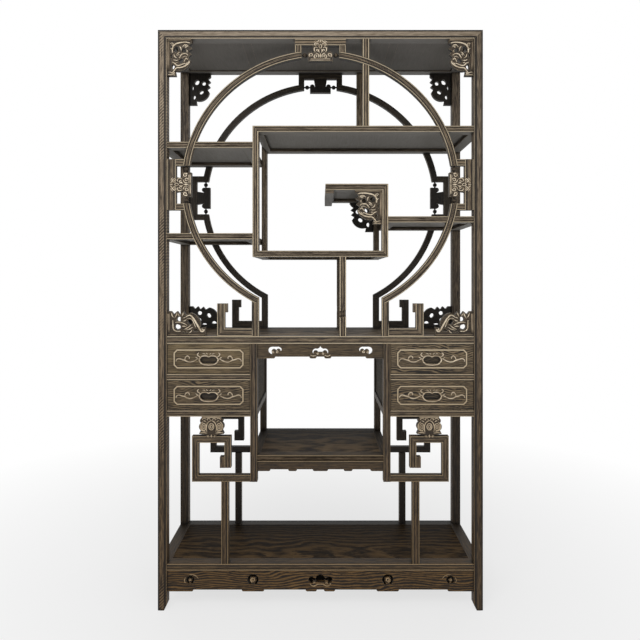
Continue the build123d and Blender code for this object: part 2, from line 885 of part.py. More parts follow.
def ogee_cut(z):
    """A pierced ogee arch over two curls, in the middle of an apron."""

    def half(side):
        def place(u, v):
            return side * u * ogee[0] / 2, z + v * ogee[1] / 2

        return [
            ThreePointArc(place(0, 1), place(0.16, 0.55), place(0.45, 0.35)),
            ThreePointArc(place(0.45, 0.35), place(0.95, -0.1), place(0.86, -0.95)),
            ThreePointArc(place(0.86, -0.95), place(0.66, -0.1), place(0.3, -0.45)),
            Line(place(0.3, -0.45), place(0, -0.45)),
        ]

    return make_face(Curve() + half(-1) + half(1))


def apron_outline(half_span, top, apron_height, lobes):
    """A board under a rail, with lobes on both sides given as the X of their middle and their length."""
    low = top - apron_height
    outline = Pos(0, (top + low) / 2) * Rectangle(2 * half_span, apron_height)
    for x, length in lobes:
        for middle in {-x, x}:
            outline += lobe(middle - length / 2, middle + length / 2, low)
    return outline


def shoulders(half_span, low, length):
    """The deeper ends of an apron, next to the posts."""
    ends = lobe(half_span - length, half_span + apron_lobe, low)
    ends &= Pos(half_span - length / 2, low) * Rectangle(length, 2 * apron_lobe)
    return ends + mirror(ends, about=Plane.YZ)


def base_apron():
    middle = base_level[0] - base_apron_height / 2
    lobes = [(cloud_lobe_x, cloud_lobe_length), (base_scroll_x, base_scroll_lobe)]
    outline = apron_outline(bay_edge, base_level[0], base_apron_height, lobes)
    low = base_level[0] - base_apron_height
    outline += shoulders(bay_edge, low, end_scroll_inset + end_scroll_radius)
    end_scroll_x = bay_edge - end_scroll_inset
    for side in (-1, 1):
        outline -= scroll_cut(side * base_scroll_x, middle, base_scroll_radius)
        outline -= scroll_cut(side * end_scroll_x, middle, end_scroll_radius)
    outline -= Pos(0, middle) * cloud_cut()
    return cut_board(outline, front + apron_recess, apron_thickness)


def centre_apron():
    low = deck_level[0] - centre_apron_height
    middle = deck_level[0] - centre_apron_height / 2
    lobes = [(centre_lobe_x, centre_lobe_length)]
    outline = apron_outline(inner_edge, deck_level[0], centre_apron_height, lobes)
    outline += shoulders(inner_edge, low, centre_shoulder)
    for side in (-1, 1):
        outline -= crescent_cut(side * (inner_edge - crescent_inset), middle, side)
    outline -= ogee_cut(middle)
    return cut_board(outline, front + apron_recess, apron_thickness)


def low_apron():
    lobes = [(0, low_middle_lobe), (inner_edge - low_second_inset, low_second_lobe)]
    outline = apron_outline(inner_edge, low_shelf_level[0], low_apron_height, lobes)
    outline += shoulders(inner_edge, low_shelf_level[0] - low_apron_height, low_shoulder)
    return cut_board(outline, front + apron_recess, apron_thickness)


def end_apron():
    """The plain board under the base at the left end."""
    y = -front - post
    x = -half_width + apron_recess
    z = (base_level[0] - end_apron_height, base_level[0])
    return block((x, x + apron_thickness), (-y, y), z)


# Corner brackets ------------------------------------------------------------------------------


def bracket_outline(place):
    """Pierced outline of a bracket. place(u, v) gives X and Z from shares of its two sides."""
    leaf_tips = [(1, 0.1), (0.87, 0.17), (1, 0.26), (0.85, 0.33), (0.98, 0.42), (0.84, 0.49), (0.94, 0.6)]
    edge = [
        Polyline(place(0, 1), place(0, 0), place(1, 0), place(1, 0.1)),
        Polyline(*[place(u, v) for u, v in leaf_tips]),
        ThreePointArc(place(0.94, 0.6), place(0.78, 0.79), place(0.32, 0.86)),
        Polyline(place(0.32, 0.86), place(0.36, 1), place(0, 1)),
    ]
    outline = make_face(Curve() + edge)
    leaves = [
        ((0.29, 0.23), (0.35, 0.36), (0.46, 0.29), (0.41, 0.2)),
        ((0.63, 0.25), (0.62, 0.36), (0.72, 0.38), (0.76, 0.28)),
        ((0.15, 0.38), (0.13, 0.46), (0.16, 0.54), (0.2, 0.46)),
        ((0.2, 0.68), (0.18, 0.76), (0.21, 0.83), (0.3, 0.74)),
        ((0.52, 0.55), (0.5, 0.65), (0.62, 0.64), (0.65, 0.55)),
    ]
    for start, bulge, end, back in leaves:
        arcs = [
            ThreePointArc(place(*start), place(*bulge), place(*end)),
            ThreePointArc(place(*end), place(*back), place(*start)),
        ]
        outline -= make_face(Curve() + arcs)
    return outline


def bracket(corner, towards, size, long_is_level):
    """A front bracket in a corner given as X and Z. Towards gives the signs of its two sides."""

    def place(u, v):
        reach = (u * size[0], v * size[1])
        level_reach, upright_reach = reversed(reach) if long_is_level else reach
        return corner[0] + towards[0] * level_reach, corner[1] + towards[1] * upright_reach

    return cut_board(bracket_outline(place), front + bracket_recess, bracket_thickness)


def front_brackets():
    top = bracket((-bay_edge, top_level[0]), (1, -1), top_bracket, False)
    deck = bracket((-bay_edge, deck_top), (1, 1), deck_bracket, True)
    spiral = bracket((box_edge - box_post, spiral_level[0]), (-1, -1), spiral_bracket, False)
    return both_sides([top, deck]) + [spiral]


# All the pieces -------------------------------------------------------------------------------


def main():
    os.makedirs("parts", exist_ok=True)
    parts = {}

    top = top_board()
    deck = framed_board((-bay_edge, bay_edge), deck_level, rail_width, corner_posts, corner_posts, 3)
    base = framed_board((-bay_edge, bay_edge), base_level, rail_width, corner_posts, corner_posts, 3)
    low_shelf_x = (-inner_edge, inner_edge)
    low_shelf = framed_board(low_shelf_x, low_shelf_level, rail_width, inner_posts, inner_posts)
    for name, board in (("top", top), ("deck", deck), ("base", base), ("low_shelf", low_shelf)):
        parts[f"{name}_long_rails"] = board["long"]
        parts[f"{name}_end_rails"] = board["ends"]
        parts[f"{name}_panel"] = board["panel"]
    parts["board_battens"] = top["battens"] + deck["battens"] + base["battens"] + low_shelf["battens"]

    left_post = [corner_post([left_upper_level, left_lower_level])]
    right_post = to_right([corner_post([right_shelf_level, box_top_level])])
    for side, piece in (("left", left_post), ("right", right_post)):
        parts[f"front_{side}_post"] = piece
        parts[f"back_{side}_post"] = to_back(piece)
    parts["inner_posts"] = both_faces(both_sides([inner_post()]))

    side_panels, back_panels = case_panels()
    parts["case_long_rails"] = both_sides(case_long_rails())
    parts["case_end_rails"] = both_sides(case_end_rails())
    parts["case_side_panels"] = both_sides(side_panels)
    parts["case_back_panels"] = both_sides(back_panels)
    parts["drawer_runners"] = both_sides(runners())
    parts["dust_boards"] = both_sides(dust_boards())

    for place, opening in (("upper", upper_opening), ("lower", lower_opening)):
        for piece, solids in drawer(opening).items():
            parts[f"{place}_left_drawer_{piece}"] = solids
            parts[f"{place}_right_drawer_{piece}"] = to_right(solids)

    frames, carved = gate_blocks()
    faces = {
        "gate_ring": gate_ring(),
        "gate_feet": both_sides(gate_feet()),
        "gate_block_frames": frames,
        "gate_carved_blocks": carved,
        "brackets": front_brackets(),
        "frets": both_sides(fret()),
    }
    for name, solids in faces.items():
        parts[f"front_{name}"] = solids
        parts[f"back_{name}"] = to_back(solids)

    left_x = (-bay_edge, -box_edge)
    floor = shelf((-box_edge, box_edge), box_floor_level, battens=2)
    parts["box_top_shelf"] = long_shelf()
    parts["box_floor"] = pieces_of(mitred(floor, left_floor, right_floor))
    parts["spiral_shelf"] = spiral_shelf()
    parts["left_upper_shelf"] = side_shelf(left_x, left_upper_level, left_posts=corner_posts)
    parts["left_lower_shelf"] = side_shelf(left_x, left_lower_level, left_posts=corner_posts)
    parts["right_shelf"] = side_shelf((box_edge, bay_edge), right_shelf_level, right_posts=corner_posts)
    parts["box_posts"] = box_posts()
    parts["divider_posts"] = divider_posts()

    parts["fret_supports"] = both_faces(both_sides([fret_support()]))
    parts["lotus_blocks"] = both_faces(both_sides([lotus_block()]))
    parts["base_aprons"] = both_faces([base_apron()]) + both_sides([end_apron()])
    parts["middle_bay_aprons"] = both_faces([centre_apron(), low_apron()])

    for name, solids in parts.items():
        save(name, solids)
    print(len(parts), "parts")


main()
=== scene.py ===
import math
from random import Random

import bmesh
import bpy
import numpy as np
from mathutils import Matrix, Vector

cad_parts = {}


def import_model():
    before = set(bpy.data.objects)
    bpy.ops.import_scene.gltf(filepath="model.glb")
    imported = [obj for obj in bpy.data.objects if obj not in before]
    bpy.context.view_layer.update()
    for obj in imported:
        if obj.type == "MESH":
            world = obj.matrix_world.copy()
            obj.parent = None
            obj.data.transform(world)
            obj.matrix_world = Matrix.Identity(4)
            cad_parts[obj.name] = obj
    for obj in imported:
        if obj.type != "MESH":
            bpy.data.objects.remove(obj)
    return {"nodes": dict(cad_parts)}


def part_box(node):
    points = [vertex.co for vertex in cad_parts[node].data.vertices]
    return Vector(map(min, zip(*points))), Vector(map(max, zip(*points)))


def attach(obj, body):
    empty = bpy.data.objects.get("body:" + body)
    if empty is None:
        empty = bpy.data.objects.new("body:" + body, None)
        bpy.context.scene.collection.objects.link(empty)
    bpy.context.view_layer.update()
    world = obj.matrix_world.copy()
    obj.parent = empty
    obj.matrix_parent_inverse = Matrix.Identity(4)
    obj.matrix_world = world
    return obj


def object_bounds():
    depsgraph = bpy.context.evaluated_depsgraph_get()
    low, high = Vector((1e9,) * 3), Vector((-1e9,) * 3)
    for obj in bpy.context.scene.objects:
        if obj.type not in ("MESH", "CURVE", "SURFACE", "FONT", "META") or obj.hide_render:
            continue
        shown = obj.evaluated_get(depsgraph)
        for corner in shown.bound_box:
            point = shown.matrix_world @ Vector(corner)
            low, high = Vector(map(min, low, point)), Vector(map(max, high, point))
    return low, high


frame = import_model()
cad_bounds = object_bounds()
nodes = frame["nodes"]

# Metres, in the frame of the CAD model. The front of the cabinet faces -Y. Carving is drawn in millimetres.

# Camera, found from the photograph's one-point perspective
CAMERA_DISTANCE = 1.934
CAMERA_HEIGHT = 1.124
LENS = 32.24
SENSOR = 36
HORIZON_SHIFT = -0.0664
SIDE_SHIFT = -0.0006

# Places worked out from the frame. Rails, drawer fronts and aprons lie a little behind the posts.
FRONT = cad_bounds[0][1]
POST_FACE = -FRONT
RAIL_FACE = POST_FACE - 0.001
DRAWER_FACE = POST_FACE - 0.003
APRON_FACE = POST_FACE - 0.005

# Width of the bead along an edge, and depth of the quirk beside it
BEAD = 0.004
QUIRK = 0.0015

# The moon gate is an oval round this height, which lies a leg above the foot of its blocks' frames.
# Its half width and half height are those of its outer edge, and its band is as broad as GATE_BAND.
GATE_FRAME_LEG = 0.086
GATE_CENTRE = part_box("front_gate_block_frames")[0].z + GATE_FRAME_LEG
GATE_HALF_WIDTH = 0.469
GATE_HALF_HEIGHT = 0.4535
GATE_BAND = 0.0225


# Nodes ------------------------------------------------------------------------------------------


def new_node(tree, kind, inputs=(), **settings):
    """A node with its settings, and its inputs set or linked by name or number."""
    node = tree.nodes.new(kind)
    for name, value in settings.items():
        setattr(node, name, value)
    for name, value in dict(inputs).items():
        if isinstance(value, bpy.types.NodeSocket):
            tree.links.new(value, node.inputs[name])
        else:
            node.inputs[name].default_value = value
    return node


def math_node(tree, operation, first, second=0.0, clamp=False):
    inputs = {0: first, 1: second}
    return new_node(tree, "ShaderNodeMath", inputs, operation=operation, use_clamp=clamp).outputs[0]


def ramp_node(tree, value, start, end):
    """Rises from 0 at start to 1 at end."""
    return math_node(tree, "DIVIDE", math_node(tree, "SUBTRACT", value, start), end - start, clamp=True)


def vector_node(tree, operation, first, second=(0.0, 0.0, 0.0)):
    inputs = {0: first, 1: second}
    return new_node(tree, "ShaderNodeVectorMath", inputs, operation=operation).outputs[0]


def linear(red, green, blue):
    """A colour given as it looks on a screen, from 0 to 255, as the light values that a shader takes."""
    return tuple(((value / 255 + 0.055) / 1.055) ** 2.4 for value in (red, green, blue))


# Grain ------------------------------------------------------------------------------------------


def grain_group():
    """Geometry nodes that store two facts for each face of a board.

    grain is a point in wood whose grain is its X, laid along the longest extent of the face. slim
    is half the width of the face, roughly, and tells a bead from the flat beside it.
    """
    tree = bpy.data.node_groups.new("lay_grain", "GeometryNodeTree")
    tree.interface.new_socket("Geometry", in_out="INPUT", socket_type="NodeSocketGeometry")
    tree.interface.new_socket("Shift", in_out="INPUT", socket_type="NodeSocketVector")
    tree.interface.new_socket("Geometry", in_out="OUTPUT", socket_type="NodeSocketGeometry")
    entry = tree.nodes.new("NodeGroupInput")
    leave = tree.nodes.new("NodeGroupOutput")
    position = tree.nodes.new("GeometryNodeInputPosition").outputs[0]
    island = tree.nodes.new("GeometryNodeInputMeshIsland").outputs["Island Index"]

    def total(value):
        node = tree.nodes.new("GeometryNodeAccumulateField")
        node.data_type = "FLOAT_VECTOR"
        tree.links.new(value, node.inputs["Value"])
        tree.links.new(island, node.inputs["Group ID"])
        return node.outputs["Total"]

    ones = vector_node(tree, "ADD", vector_node(tree, "MULTIPLY", position), (1.0, 1.0, 1.0))
    count = total(ones)
    mean = vector_node(tree, "DIVIDE", total(position), count)
    away = vector_node(tree, "SUBTRACT", position, mean)
    spread = vector_node(tree, "DIVIDE", total(vector_node(tree, "MULTIPLY", away, away)), count)
    spreads = new_node(tree, "ShaderNodeSeparateXYZ", {0: spread}).outputs
    places = new_node(tree, "ShaderNodeSeparateXYZ", {0: position}).outputs

    def most(first, second):
        return math_node(tree, "MAXIMUM", first, second)

    def turned(order):
        inputs = {axis: places[source] for axis, source in enumerate(order)}
        return new_node(tree, "ShaderNodeCombineXYZ", inputs).outputs[0]

    grain = turned((0, 2, 1))
    for axis, order in ((1, (1, 2, 0)), (2, (2, 0, 1))):
        others = [spreads[other] for other in range(3) if other != axis]
        longest = math_node(tree, "GREATER_THAN", spreads[axis], most(*others))
        choices = {"False": grain, "True": turned(order), "Switch": longest}
        grain = new_node(tree, "GeometryNodeSwitch", choices, input_type="VECTOR").outputs[0]
    grain = vector_node(tree, "ADD", grain, entry.outputs["Shift"])

    whole = math_node(tree, "ADD", math_node(tree, "ADD", spreads[0], spreads[1]), spreads[2])
    across = math_node(tree, "SUBTRACT", whole, most(most(spreads[0], spreads[1]), spreads[2]))
    slim = math_node(tree, "SQRT", most(across, 0.0))

    geometry = entry.outputs["Geometry"]
    for name, value, kind in (("grain", grain, "FLOAT_VECTOR"), ("slim", slim, "FLOAT")):
        inputs = {"Geometry": geometry, "Name": name}
        store = new_node(tree, "GeometryNodeStoreNamedAttribute", inputs, data_type=kind, domain="POINT")
        tree.links.new(value, store.inputs["Value"])
        geometry = store.outputs[0]
    tree.links.new(geometry, leave.inputs[0])
    return tree


# How far apart in the wood the pieces are cut, along the grain and across it
CUT_ALONG = 5
CUT_ACROSS = 0.4

GRAIN = grain_group()
shifts = Random(7)


def lay_grain(piece):
    """Gives a piece its own place in the wood."""
    modifier = piece.modifiers.new("grain", "NODES")
    modifier.node_group = GRAIN
    socket = next(item for item in GRAIN.interface.items_tree if item.name == "Shift")
    limits = (CUT_ALONG, CUT_ACROSS, CUT_ACROSS)
    modifier[socket.identifier] = [shifts.uniform(0, limit) for limit in limits]


# Wood -------------------------------------------------------------------------------------------

PALE = linear(130, 114, 92)
DARK = linear(48, 39, 30)
# Paler colour of beads, a painted highlight, and of edges and proud carving, worn and given a painted
# highlight.
WORN_AND_HIGHLIGHT = linear(212, 194, 164)
# Dark colour of painted shade in quirks, corners, hollows and on the lower sides of carved strokes.
PAINTED_SHADE_COLOUR = linear(22, 17, 12)
# Grey painted on undersides, a painted sheen: the pale floor seen in their gloss.
UNDERSIDE_PAINTED_SHEEN = linear(136, 132, 126)

# Painted shade: the wood is painted browner and darker towards the floor, between these two heights, as the
# light of the lamps above falls off. Posts start higher up.
FLOOR_END_PAINTED_SHADE = (0.50, 0.42, 0.32)
PAINTED_SHADE_TOP = 0.95
POST_PAINTED_SHADE_TOP = 1.7
PAINTED_SHADE_FOOT = 0.35

# What is left of the light on level faces at the back and at the front edge of a board
LEVEL_SHADE = (0.08, 0.95)

# Faces that look at the inside lose light towards the floor, between these two heights. A face looks out
# or in fully where its distance from the middle, times how far it is turned that way, reaches TURNED.
INSIDE_FOOT = 0.3
INSIDE_TOP = 1.7
TURNED = 0.1

# A face counts as level, or as an underside, between these two shares of facing up or down.
LEVEL = (0.5, 0.8)

# The scale of each pattern along the grain and in both directions across it
SWAY_SCALE = (4.0, 9.0, 9.0)
STREAK_SCALE = (15.0, 240.0, 240.0)
FLECK_SCALE = (42.0, 540.0, 540.0)
PORE_SCALE = (70.0, 1300.0, 1300.0)
PATCH_SCALE = (2.2, 14.0, 14.0)

# How strongly each pattern changes the share of pale wood
STREAK_STRENGTH = 2.3
FLECK_STRENGTH = 1.5
PATCH_STRENGTH = 0.8
RING_STRENGTH = 0.5

# How far a board lies from the pith, and how much the streaks bend the rings and the ripple
PITH = (0.0, 0.11, 0.06)
RING_WAVER = 5.0
RIPPLE_WAVER = 4.0
RIPPLE_LENGTH = 0.0105

# The noise values at which pores and the patches with a ripple begin and are whole
PORE_RAMP = (0.6, 0.68)
RIPPLE_RAMP = (0.47, 0.6)

# How much pores darken the wood and sink into it, and how much streaks dull its gloss
PORE_SHADE = 0.3
PORE_DEPTH = 0.6
STREAK_GLOSS = 0.2

# A face is a bead where its slim is below this.
SLIM_BEAD = 0.55 * BEAD

# Depths behind a moulded face between which its quirk is painted dark, as painted shade, and between which it
# ends
QUIRK_START = (0.2 * QUIRK, 0.5 * QUIRK)
QUIRK_END = (1.4 * QUIRK, 1.05 * QUIRK)

# Heights over a carved face, and depths under it, between which it is painted paler, where worn and as a
# painted highlight, or darker, as painted shade, and how much
PROUD = (0.0003, 0.0016)
SUNK = (0.0015, 0.007)
PROUD_WEAR_AND_HIGHLIGHT = 0.8
SUNK_SHADE = 0.55

# Undersides are painted their own colour, a painted sheen on most woods and painted shade on frets, rings
# and carved pieces. They keep this share of it in the streaks, which cover so much of them.
UNDERSIDE_DIM = 0.55
UNDERSIDE_STREAKS = 0.6

# A carving's strokes are painted darker on their lower sides, as painted shade, between these two shares of
# facing down, and by how much
STROKE_UNDER = (-0.1, -0.75)
STROKE_SHADE = 0.85

# Edges, painted paler where worn and as a painted highlight, are found by rounding them with this radius.
# Corners are painted dark, as painted shade, within this distance.
EDGE_RADIUS = 0.0014
EDGE_GAIN = 5.0
CORNER_REACH = 0.012
CORNER_POWER = 2.2
CORNER_SHADE = 0.95

BUMP_STRENGTH = 0.3
BUMP_HEIGHT = 0.0004


class Wood:
    """Dark hardwood with fine pale streaks, painted shade in its corners, a painted highlight on its beads,
    and edges painted paler where worn and as a painted highlight.

    pale and dark are its two colours, and middle is the share of the pale one. ring_width is the width
    of its growth rings, boldness their strength and sway how far they wander. ripple is the strength of
    a slanting ripple. inside is what is left of the light on faces that look at the inside, near the
    floor and at the top, as painted shade. underside is the colour painted on its undersides, a painted
    sheen on most woods and painted shade on frets, rings and carved pieces. wear is how much paler its
    edges are painted, where worn and as a painted highlight, and bead_highlight how much paler its beads are
    painted, as a painted highlight. Below the height painted_shade_start it is painted darker and browner, as
    painted shade. face is how far a moulded face lies from the middle of the cabinet. ridge_face is the
    same of a carved face: what stands proud of it is painted paler, where worn and as a painted
    highlight, and what is sunk is painted dark, as painted shade. round_gate lays the grain round the
    gate. relief is for the carving's own strokes.
    """

    def __init__(self, name, **changes):
        self.pale = PALE
        self.dark = DARK
        self.middle = 0.5
        self.ring_width = 0.006
        self.boldness = 0.25
        self.sway = 0.02
        self.ripple = 0.0
        self.inside = (0.35, 0.95)
        self.painted_underside = UNDERSIDE_PAINTED_SHEEN
        self.roughness = 0.45
        self.specular = 0.22
        self.edge_wear_and_highlight = 0.35
        self.painted_shade_start = PAINTED_SHADE_TOP
        self.bead_highlight = 0.5
        self.face = None
        self.ridge_face = None
        self.round_gate = False
        self.relief = False
        self.__dict__.update(changes)
        self.material = bpy.data.materials.new(name)
        self.material.use_nodes = True
        self.tree = self.material.node_tree
        self.tree.nodes.clear()
        self.build()

    def math(self, operation, first, second=0.0, clamp=False):
        return math_node(self.tree, operation, first, second, clamp)

    def ramp(self, value, start, end):
        return ramp_node(self.tree, value, start, end)

    def between(self, share, low, high):
        return self.math("ADD", low, self.math("MULTIPLY", share, high - low))

    def noise(self, place, scales, detail=1.0, roughness=0.5):
        place = vector_node(self.tree, "MULTIPLY", place, scales)
        inputs = {"Vector": place, "Scale": 1.0, "Detail": detail, "Roughness": roughness}
        return new_node(self.tree, "ShaderNodeTexNoise", inputs).outputs

    def blend(self, colour, factor, other, kind="MIX"):
        inputs = {0: factor, 6: colour, 7: other if isinstance(other, bpy.types.NodeSocket) else (*other, 1)}
        return new_node(self.tree, "ShaderNodeMix", inputs, data_type="RGBA", blend_type=kind).outputs[2]

    def shade(self, colour, factor, left):
        """Multiplies a colour by what is left of the light, where factor is 1."""
        grey = new_node(self.tree, "ShaderNodeCombineColor", {0: left, 1: left, 2: left}).outputs[0]
        return self.blend(colour, factor, grey, "MULTIPLY")

    def measure(self):
        """Places and directions that the rest is worked out from."""
        body = new_node(self.tree, "ShaderNodeTexCoord").outputs
        self.x, self.y, self.z = new_node(self.tree, "ShaderNodeSeparateXYZ", {0: body["Object"]}).outputs
        facing = new_node(self.tree, "ShaderNodeSeparateXYZ", {0: body["Normal"]}).outputs
        self.facing_z = facing[2]
        self.reach_y = self.math("ABSOLUTE", self.y)
        away = self.math("MULTIPLY", self.y, facing[1])
        self.outward = self.ramp(away, 0.0, TURNED)
        self.inward = self.ramp(away, 0.0, -TURNED)
        if self.round_gate:
            self.measure_gate()
            return
        self.grain = new_node(self.tree, "ShaderNodeAttribute", attribute_name="grain").outputs["Vector"]
        slim = new_node(self.tree, "ShaderNodeAttribute", attribute_name="slim").outputs["Fac"]
        self.bead = self.math("LESS_THAN", slim, SLIM_BEAD)

    def measure_gate(self):
        """Grain that runs round the gate, and beads at both edges of its band."""
        rise = self.math("SUBTRACT", self.z, GATE_CENTRE)
        rise = self.math("MULTIPLY", rise, GATE_HALF_WIDTH / GATE_HALF_HEIGHT)
        angle = self.math("ARCTAN2", rise, self.x)
        squares = self.math("ADD", self.math("MULTIPLY", rise, rise), self.math("MULTIPLY", self.x, self.x))
        reach = self.math("SQRT", squares)
        inputs = {0: self.math("MULTIPLY", angle, GATE_HALF_WIDTH), 1: reach, 2: self.y}
        self.grain = new_node(self.tree, "ShaderNodeCombineXYZ", inputs).outputs[0]
        off_middle = self.math("ABSOLUTE", self.math("SUBTRACT", reach, GATE_HALF_WIDTH - GATE_BAND / 2))
        self.bead = self.math("GREATER_THAN", off_middle, GATE_BAND / 2 - BEAD)

    def draw_figure(self):
        """Streaks, pores and growth rings round a pith outside the board, bent by a slow sway."""
        slow = self.noise(self.grain, SWAY_SCALE, detail=2.0)["Color"]
        bend = vector_node(self.tree, "SUBTRACT", slow, (0.5, 0.5, 0.5))
        bend = vector_node(self.tree, "MULTIPLY", bend, (0.0, self.sway, self.sway))
        bent = vector_node(self.tree, "ADD", vector_node(self.tree, "ADD", self.grain, bend), PITH)
        self.streaks = self.noise(bent, STREAK_SCALE, detail=2.0, roughness=0.6)["Fac"]
        flecks = self.noise(self.grain, FLECK_SCALE)["Fac"]
        pores = self.noise(self.grain, PORE_SCALE)["Fac"]
        self.pores = self.ramp(pores, *PORE_RAMP)
        patch = self.noise(self.grain, PATCH_SCALE)["Fac"]

        across = vector_node(self.tree, "MULTIPLY", bent, (0.0, 1.0, 1.0))
        radius = new_node(self.tree, "ShaderNodeVectorMath", {0: across}, operation="LENGTH").outputs["Value"]
        turns = self.math("MULTIPLY", radius, 2 * math.pi / self.ring_width)
        turns = self.math("ADD", turns, self.math("MULTIPLY", self.streaks, RING_WAVER))
        rings = self.math("SINE", turns)

        # Each pattern, the value that leaves the wood as it is, and its strength
        parts = [
            (self.streaks, 0.5, STREAK_STRENGTH),
            (flecks, 0.5, FLECK_STRENGTH),
            (patch, 0.5, PATCH_STRENGTH),
            (rings, 0.0, RING_STRENGTH * self.boldness),
        ]
        if self.ripple:
            along, over, _ = new_node(self.tree, "ShaderNodeSeparateXYZ", {0: self.grain}).outputs
            slant = self.math("MULTIPLY", self.math("SUBTRACT", along, over), 2 * math.pi / RIPPLE_LENGTH)
            slant = self.math("ADD", slant, self.math("MULTIPLY", self.streaks, RIPPLE_WAVER))
            place = new_node(self.tree, "ShaderNodeSeparateColor", {0: slow}).outputs[1]
            shown = self.ramp(place, *RIPPLE_RAMP)
            parts.append((self.math("MULTIPLY", self.math("SINE", slant), shown), 0.0, self.ripple))
        figure = self.middle
        for value, centre, strength in parts:
            change = self.math("MULTIPLY", self.math("SUBTRACT", value, centre), strength)
            figure = self.math("ADD", figure, change)
        sunk = self.math("SUBTRACT", 1.0, self.math("MULTIPLY", self.pores, PORE_SHADE))
        self.figure = self.math("MULTIPLY", figure, sunk, clamp=True)

    def colour_mouldings(self, colour):
        """Pale beads of a moulded face, a painted highlight, and its dark quirks, painted shade."""
        # Beads are painted pale, a painted highlight.
        beads = self.math("MULTIPLY", self.math("MULTIPLY", self.bead, self.outward), self.bead_highlight)
        colour = self.blend(colour, beads, WORN_AND_HIGHLIGHT)
        # Quirks are painted dark by their depth, as painted shade.
        depth = self.math("SUBTRACT", self.face, self.reach_y)
        start = self.ramp(depth, *QUIRK_START)
        quirk = self.math("MULTIPLY", start, self.ramp(depth, *QUIRK_END))
        return self.blend(colour, self.math("MULTIPLY", quirk, self.outward), PAINTED_SHADE_COLOUR)

    def colour_carved(self, colour):
        """Carved face: proud parts worn and given a painted highlight, hollows in painted shade."""
        proud = self.ramp(self.reach_y, self.ridge_face + PROUD[0], self.ridge_face + PROUD[1])
        colour = self.blend(colour, self.math("MULTIPLY", proud, PROUD_WEAR_AND_HIGHLIGHT), WORN_AND_HIGHLIGHT)
        sunk = self.ramp(self.reach_y, self.ridge_face - SUNK[0], self.ridge_face - SUNK[1])
        sunk = self.math("MULTIPLY", self.math("MULTIPLY", sunk, self.outward), SUNK_SHADE)
        return self.blend(colour, sunk, PAINTED_SHADE_COLOUR)

    def colour_sides(self, colour):
        """Painted shade on level faces and corners, painted undersides, and worn edges with a painted
        highlight.
        """
        # Level faces are painted darker towards the back, as painted shade.
        to_front = self.ramp(self.y, POST_FACE, -POST_FACE)
        colour = self.shade(colour, self.ramp(self.facing_z, *LEVEL), self.between(to_front, *LEVEL_SHADE))
        # Undersides are painted their own colour, a painted sheen on most woods and painted shade on frets,
        # rings and carved pieces.
        dim = tuple(UNDERSIDE_DIM * value for value in self.painted_underside)
        streaks = self.math("MULTIPLY", self.streaks, UNDERSIDE_STREAKS)
        plain = self.blend((*self.painted_underside, 1), streaks, dim)
        colour = self.blend(colour, self.ramp(self.facing_z, -LEVEL[0], -LEVEL[1]), plain)

        # Edges are painted pale where worn and as a painted highlight, where the rounded normal turns from
        # the flat one.
        flat = new_node(self.tree, "ShaderNodeNewGeometry").outputs["Normal"]
        inputs = {0: self.soft_normal, 1: flat}
        alike = new_node(self.tree, "ShaderNodeVectorMath", inputs, operation="DOT_PRODUCT").outputs["Value"]
        edge = self.math("MULTIPLY", self.math("SUBTRACT", 1.0, alike), EDGE_GAIN * self.edge_wear_and_highlight, clamp=True)
        colour = self.blend(colour, edge, WORN_AND_HIGHLIGHT)

        # Corners are painted dark where ambient occlusion finds them shut, as painted shade.
        inputs = {"Distance": CORNER_REACH}
        corner = new_node(self.tree, "ShaderNodeAmbientOcclusion", inputs, samples=6).outputs["AO"]
        shut = self.math("SUBTRACT", 1.0, self.math("POWER", corner, CORNER_POWER))
        return self.blend(colour, self.math("MULTIPLY", shut, CORNER_SHADE), PAINTED_SHADE_COLOUR)

    def colour(self):
        colour = self.blend((*self.dark, 1), self.figure, self.pale)
        if self.ridge_face is not None:
            colour = self.colour_carved(colour)
        if self.face is not None:
            colour = self.colour_mouldings(colour)
        # The lower sides of the strokes are painted dark, as painted shade.
        if self.relief:
            under = self.math("MULTIPLY", self.ramp(self.facing_z, *STROKE_UNDER), STROKE_SHADE)
            colour = self.blend(colour, under, PAINTED_SHADE_COLOUR)
        else:
            colour = self.colour_sides(colour)
        # Faces that look at the inside are painted darker, as painted shade, most of all near the floor.
        left = self.between(self.ramp(self.z, INSIDE_FOOT, INSIDE_TOP), *self.inside)
        colour = self.shade(colour, self.inward, left)
        # Painted shade: darker and browner towards the floor, as the light of the lamps above falls off.
        return self.blend(colour, self.ramp(self.z, self.painted_shade_start, PAINTED_SHADE_FOOT), FLOOR_END_PAINTED_SHADE, "MULTIPLY")

    def build(self):
        self.measure()
        self.draw_figure()
        inputs = {"Radius": EDGE_RADIUS}
        self.soft_normal = new_node(self.tree, "ShaderNodeBevel", inputs, samples=4).outputs[0]
        gloss = self.math("ADD", self.roughness, self.math("MULTIPLY", self.streaks, STREAK_GLOSS))
        height = self.math("SUBTRACT", self.figure, self.math("MULTIPLY", self.pores, PORE_DEPTH))
        inputs = {
            "Height": height,
            "Strength": BUMP_STRENGTH,
            "Distance": BUMP_HEIGHT,
            "Normal": self.soft_normal,
        }
        bump = new_node(self.tree, "ShaderNodeBump", inputs).outputs[0]
        inputs = {
            "Base Color": self.colour(),
            "Roughness": gloss,
            "Normal": bump,
            "Specular IOR Level": self.specular,
        }
        shader = new_node(self.tree, "ShaderNodeBsdfPrincipled", inputs)
        new_node(self.tree, "ShaderNodeOutputMaterial", {"Surface": shader.outputs[0]})


# Frets, rings and carved pieces are painted darker on their inner faces and undersides, as painted shade.
INSIDE_PAINTED_SHADE = (0.16, 0.26)
UNDERSIDE_PAINTED_SHADE = linear(60, 56, 50)

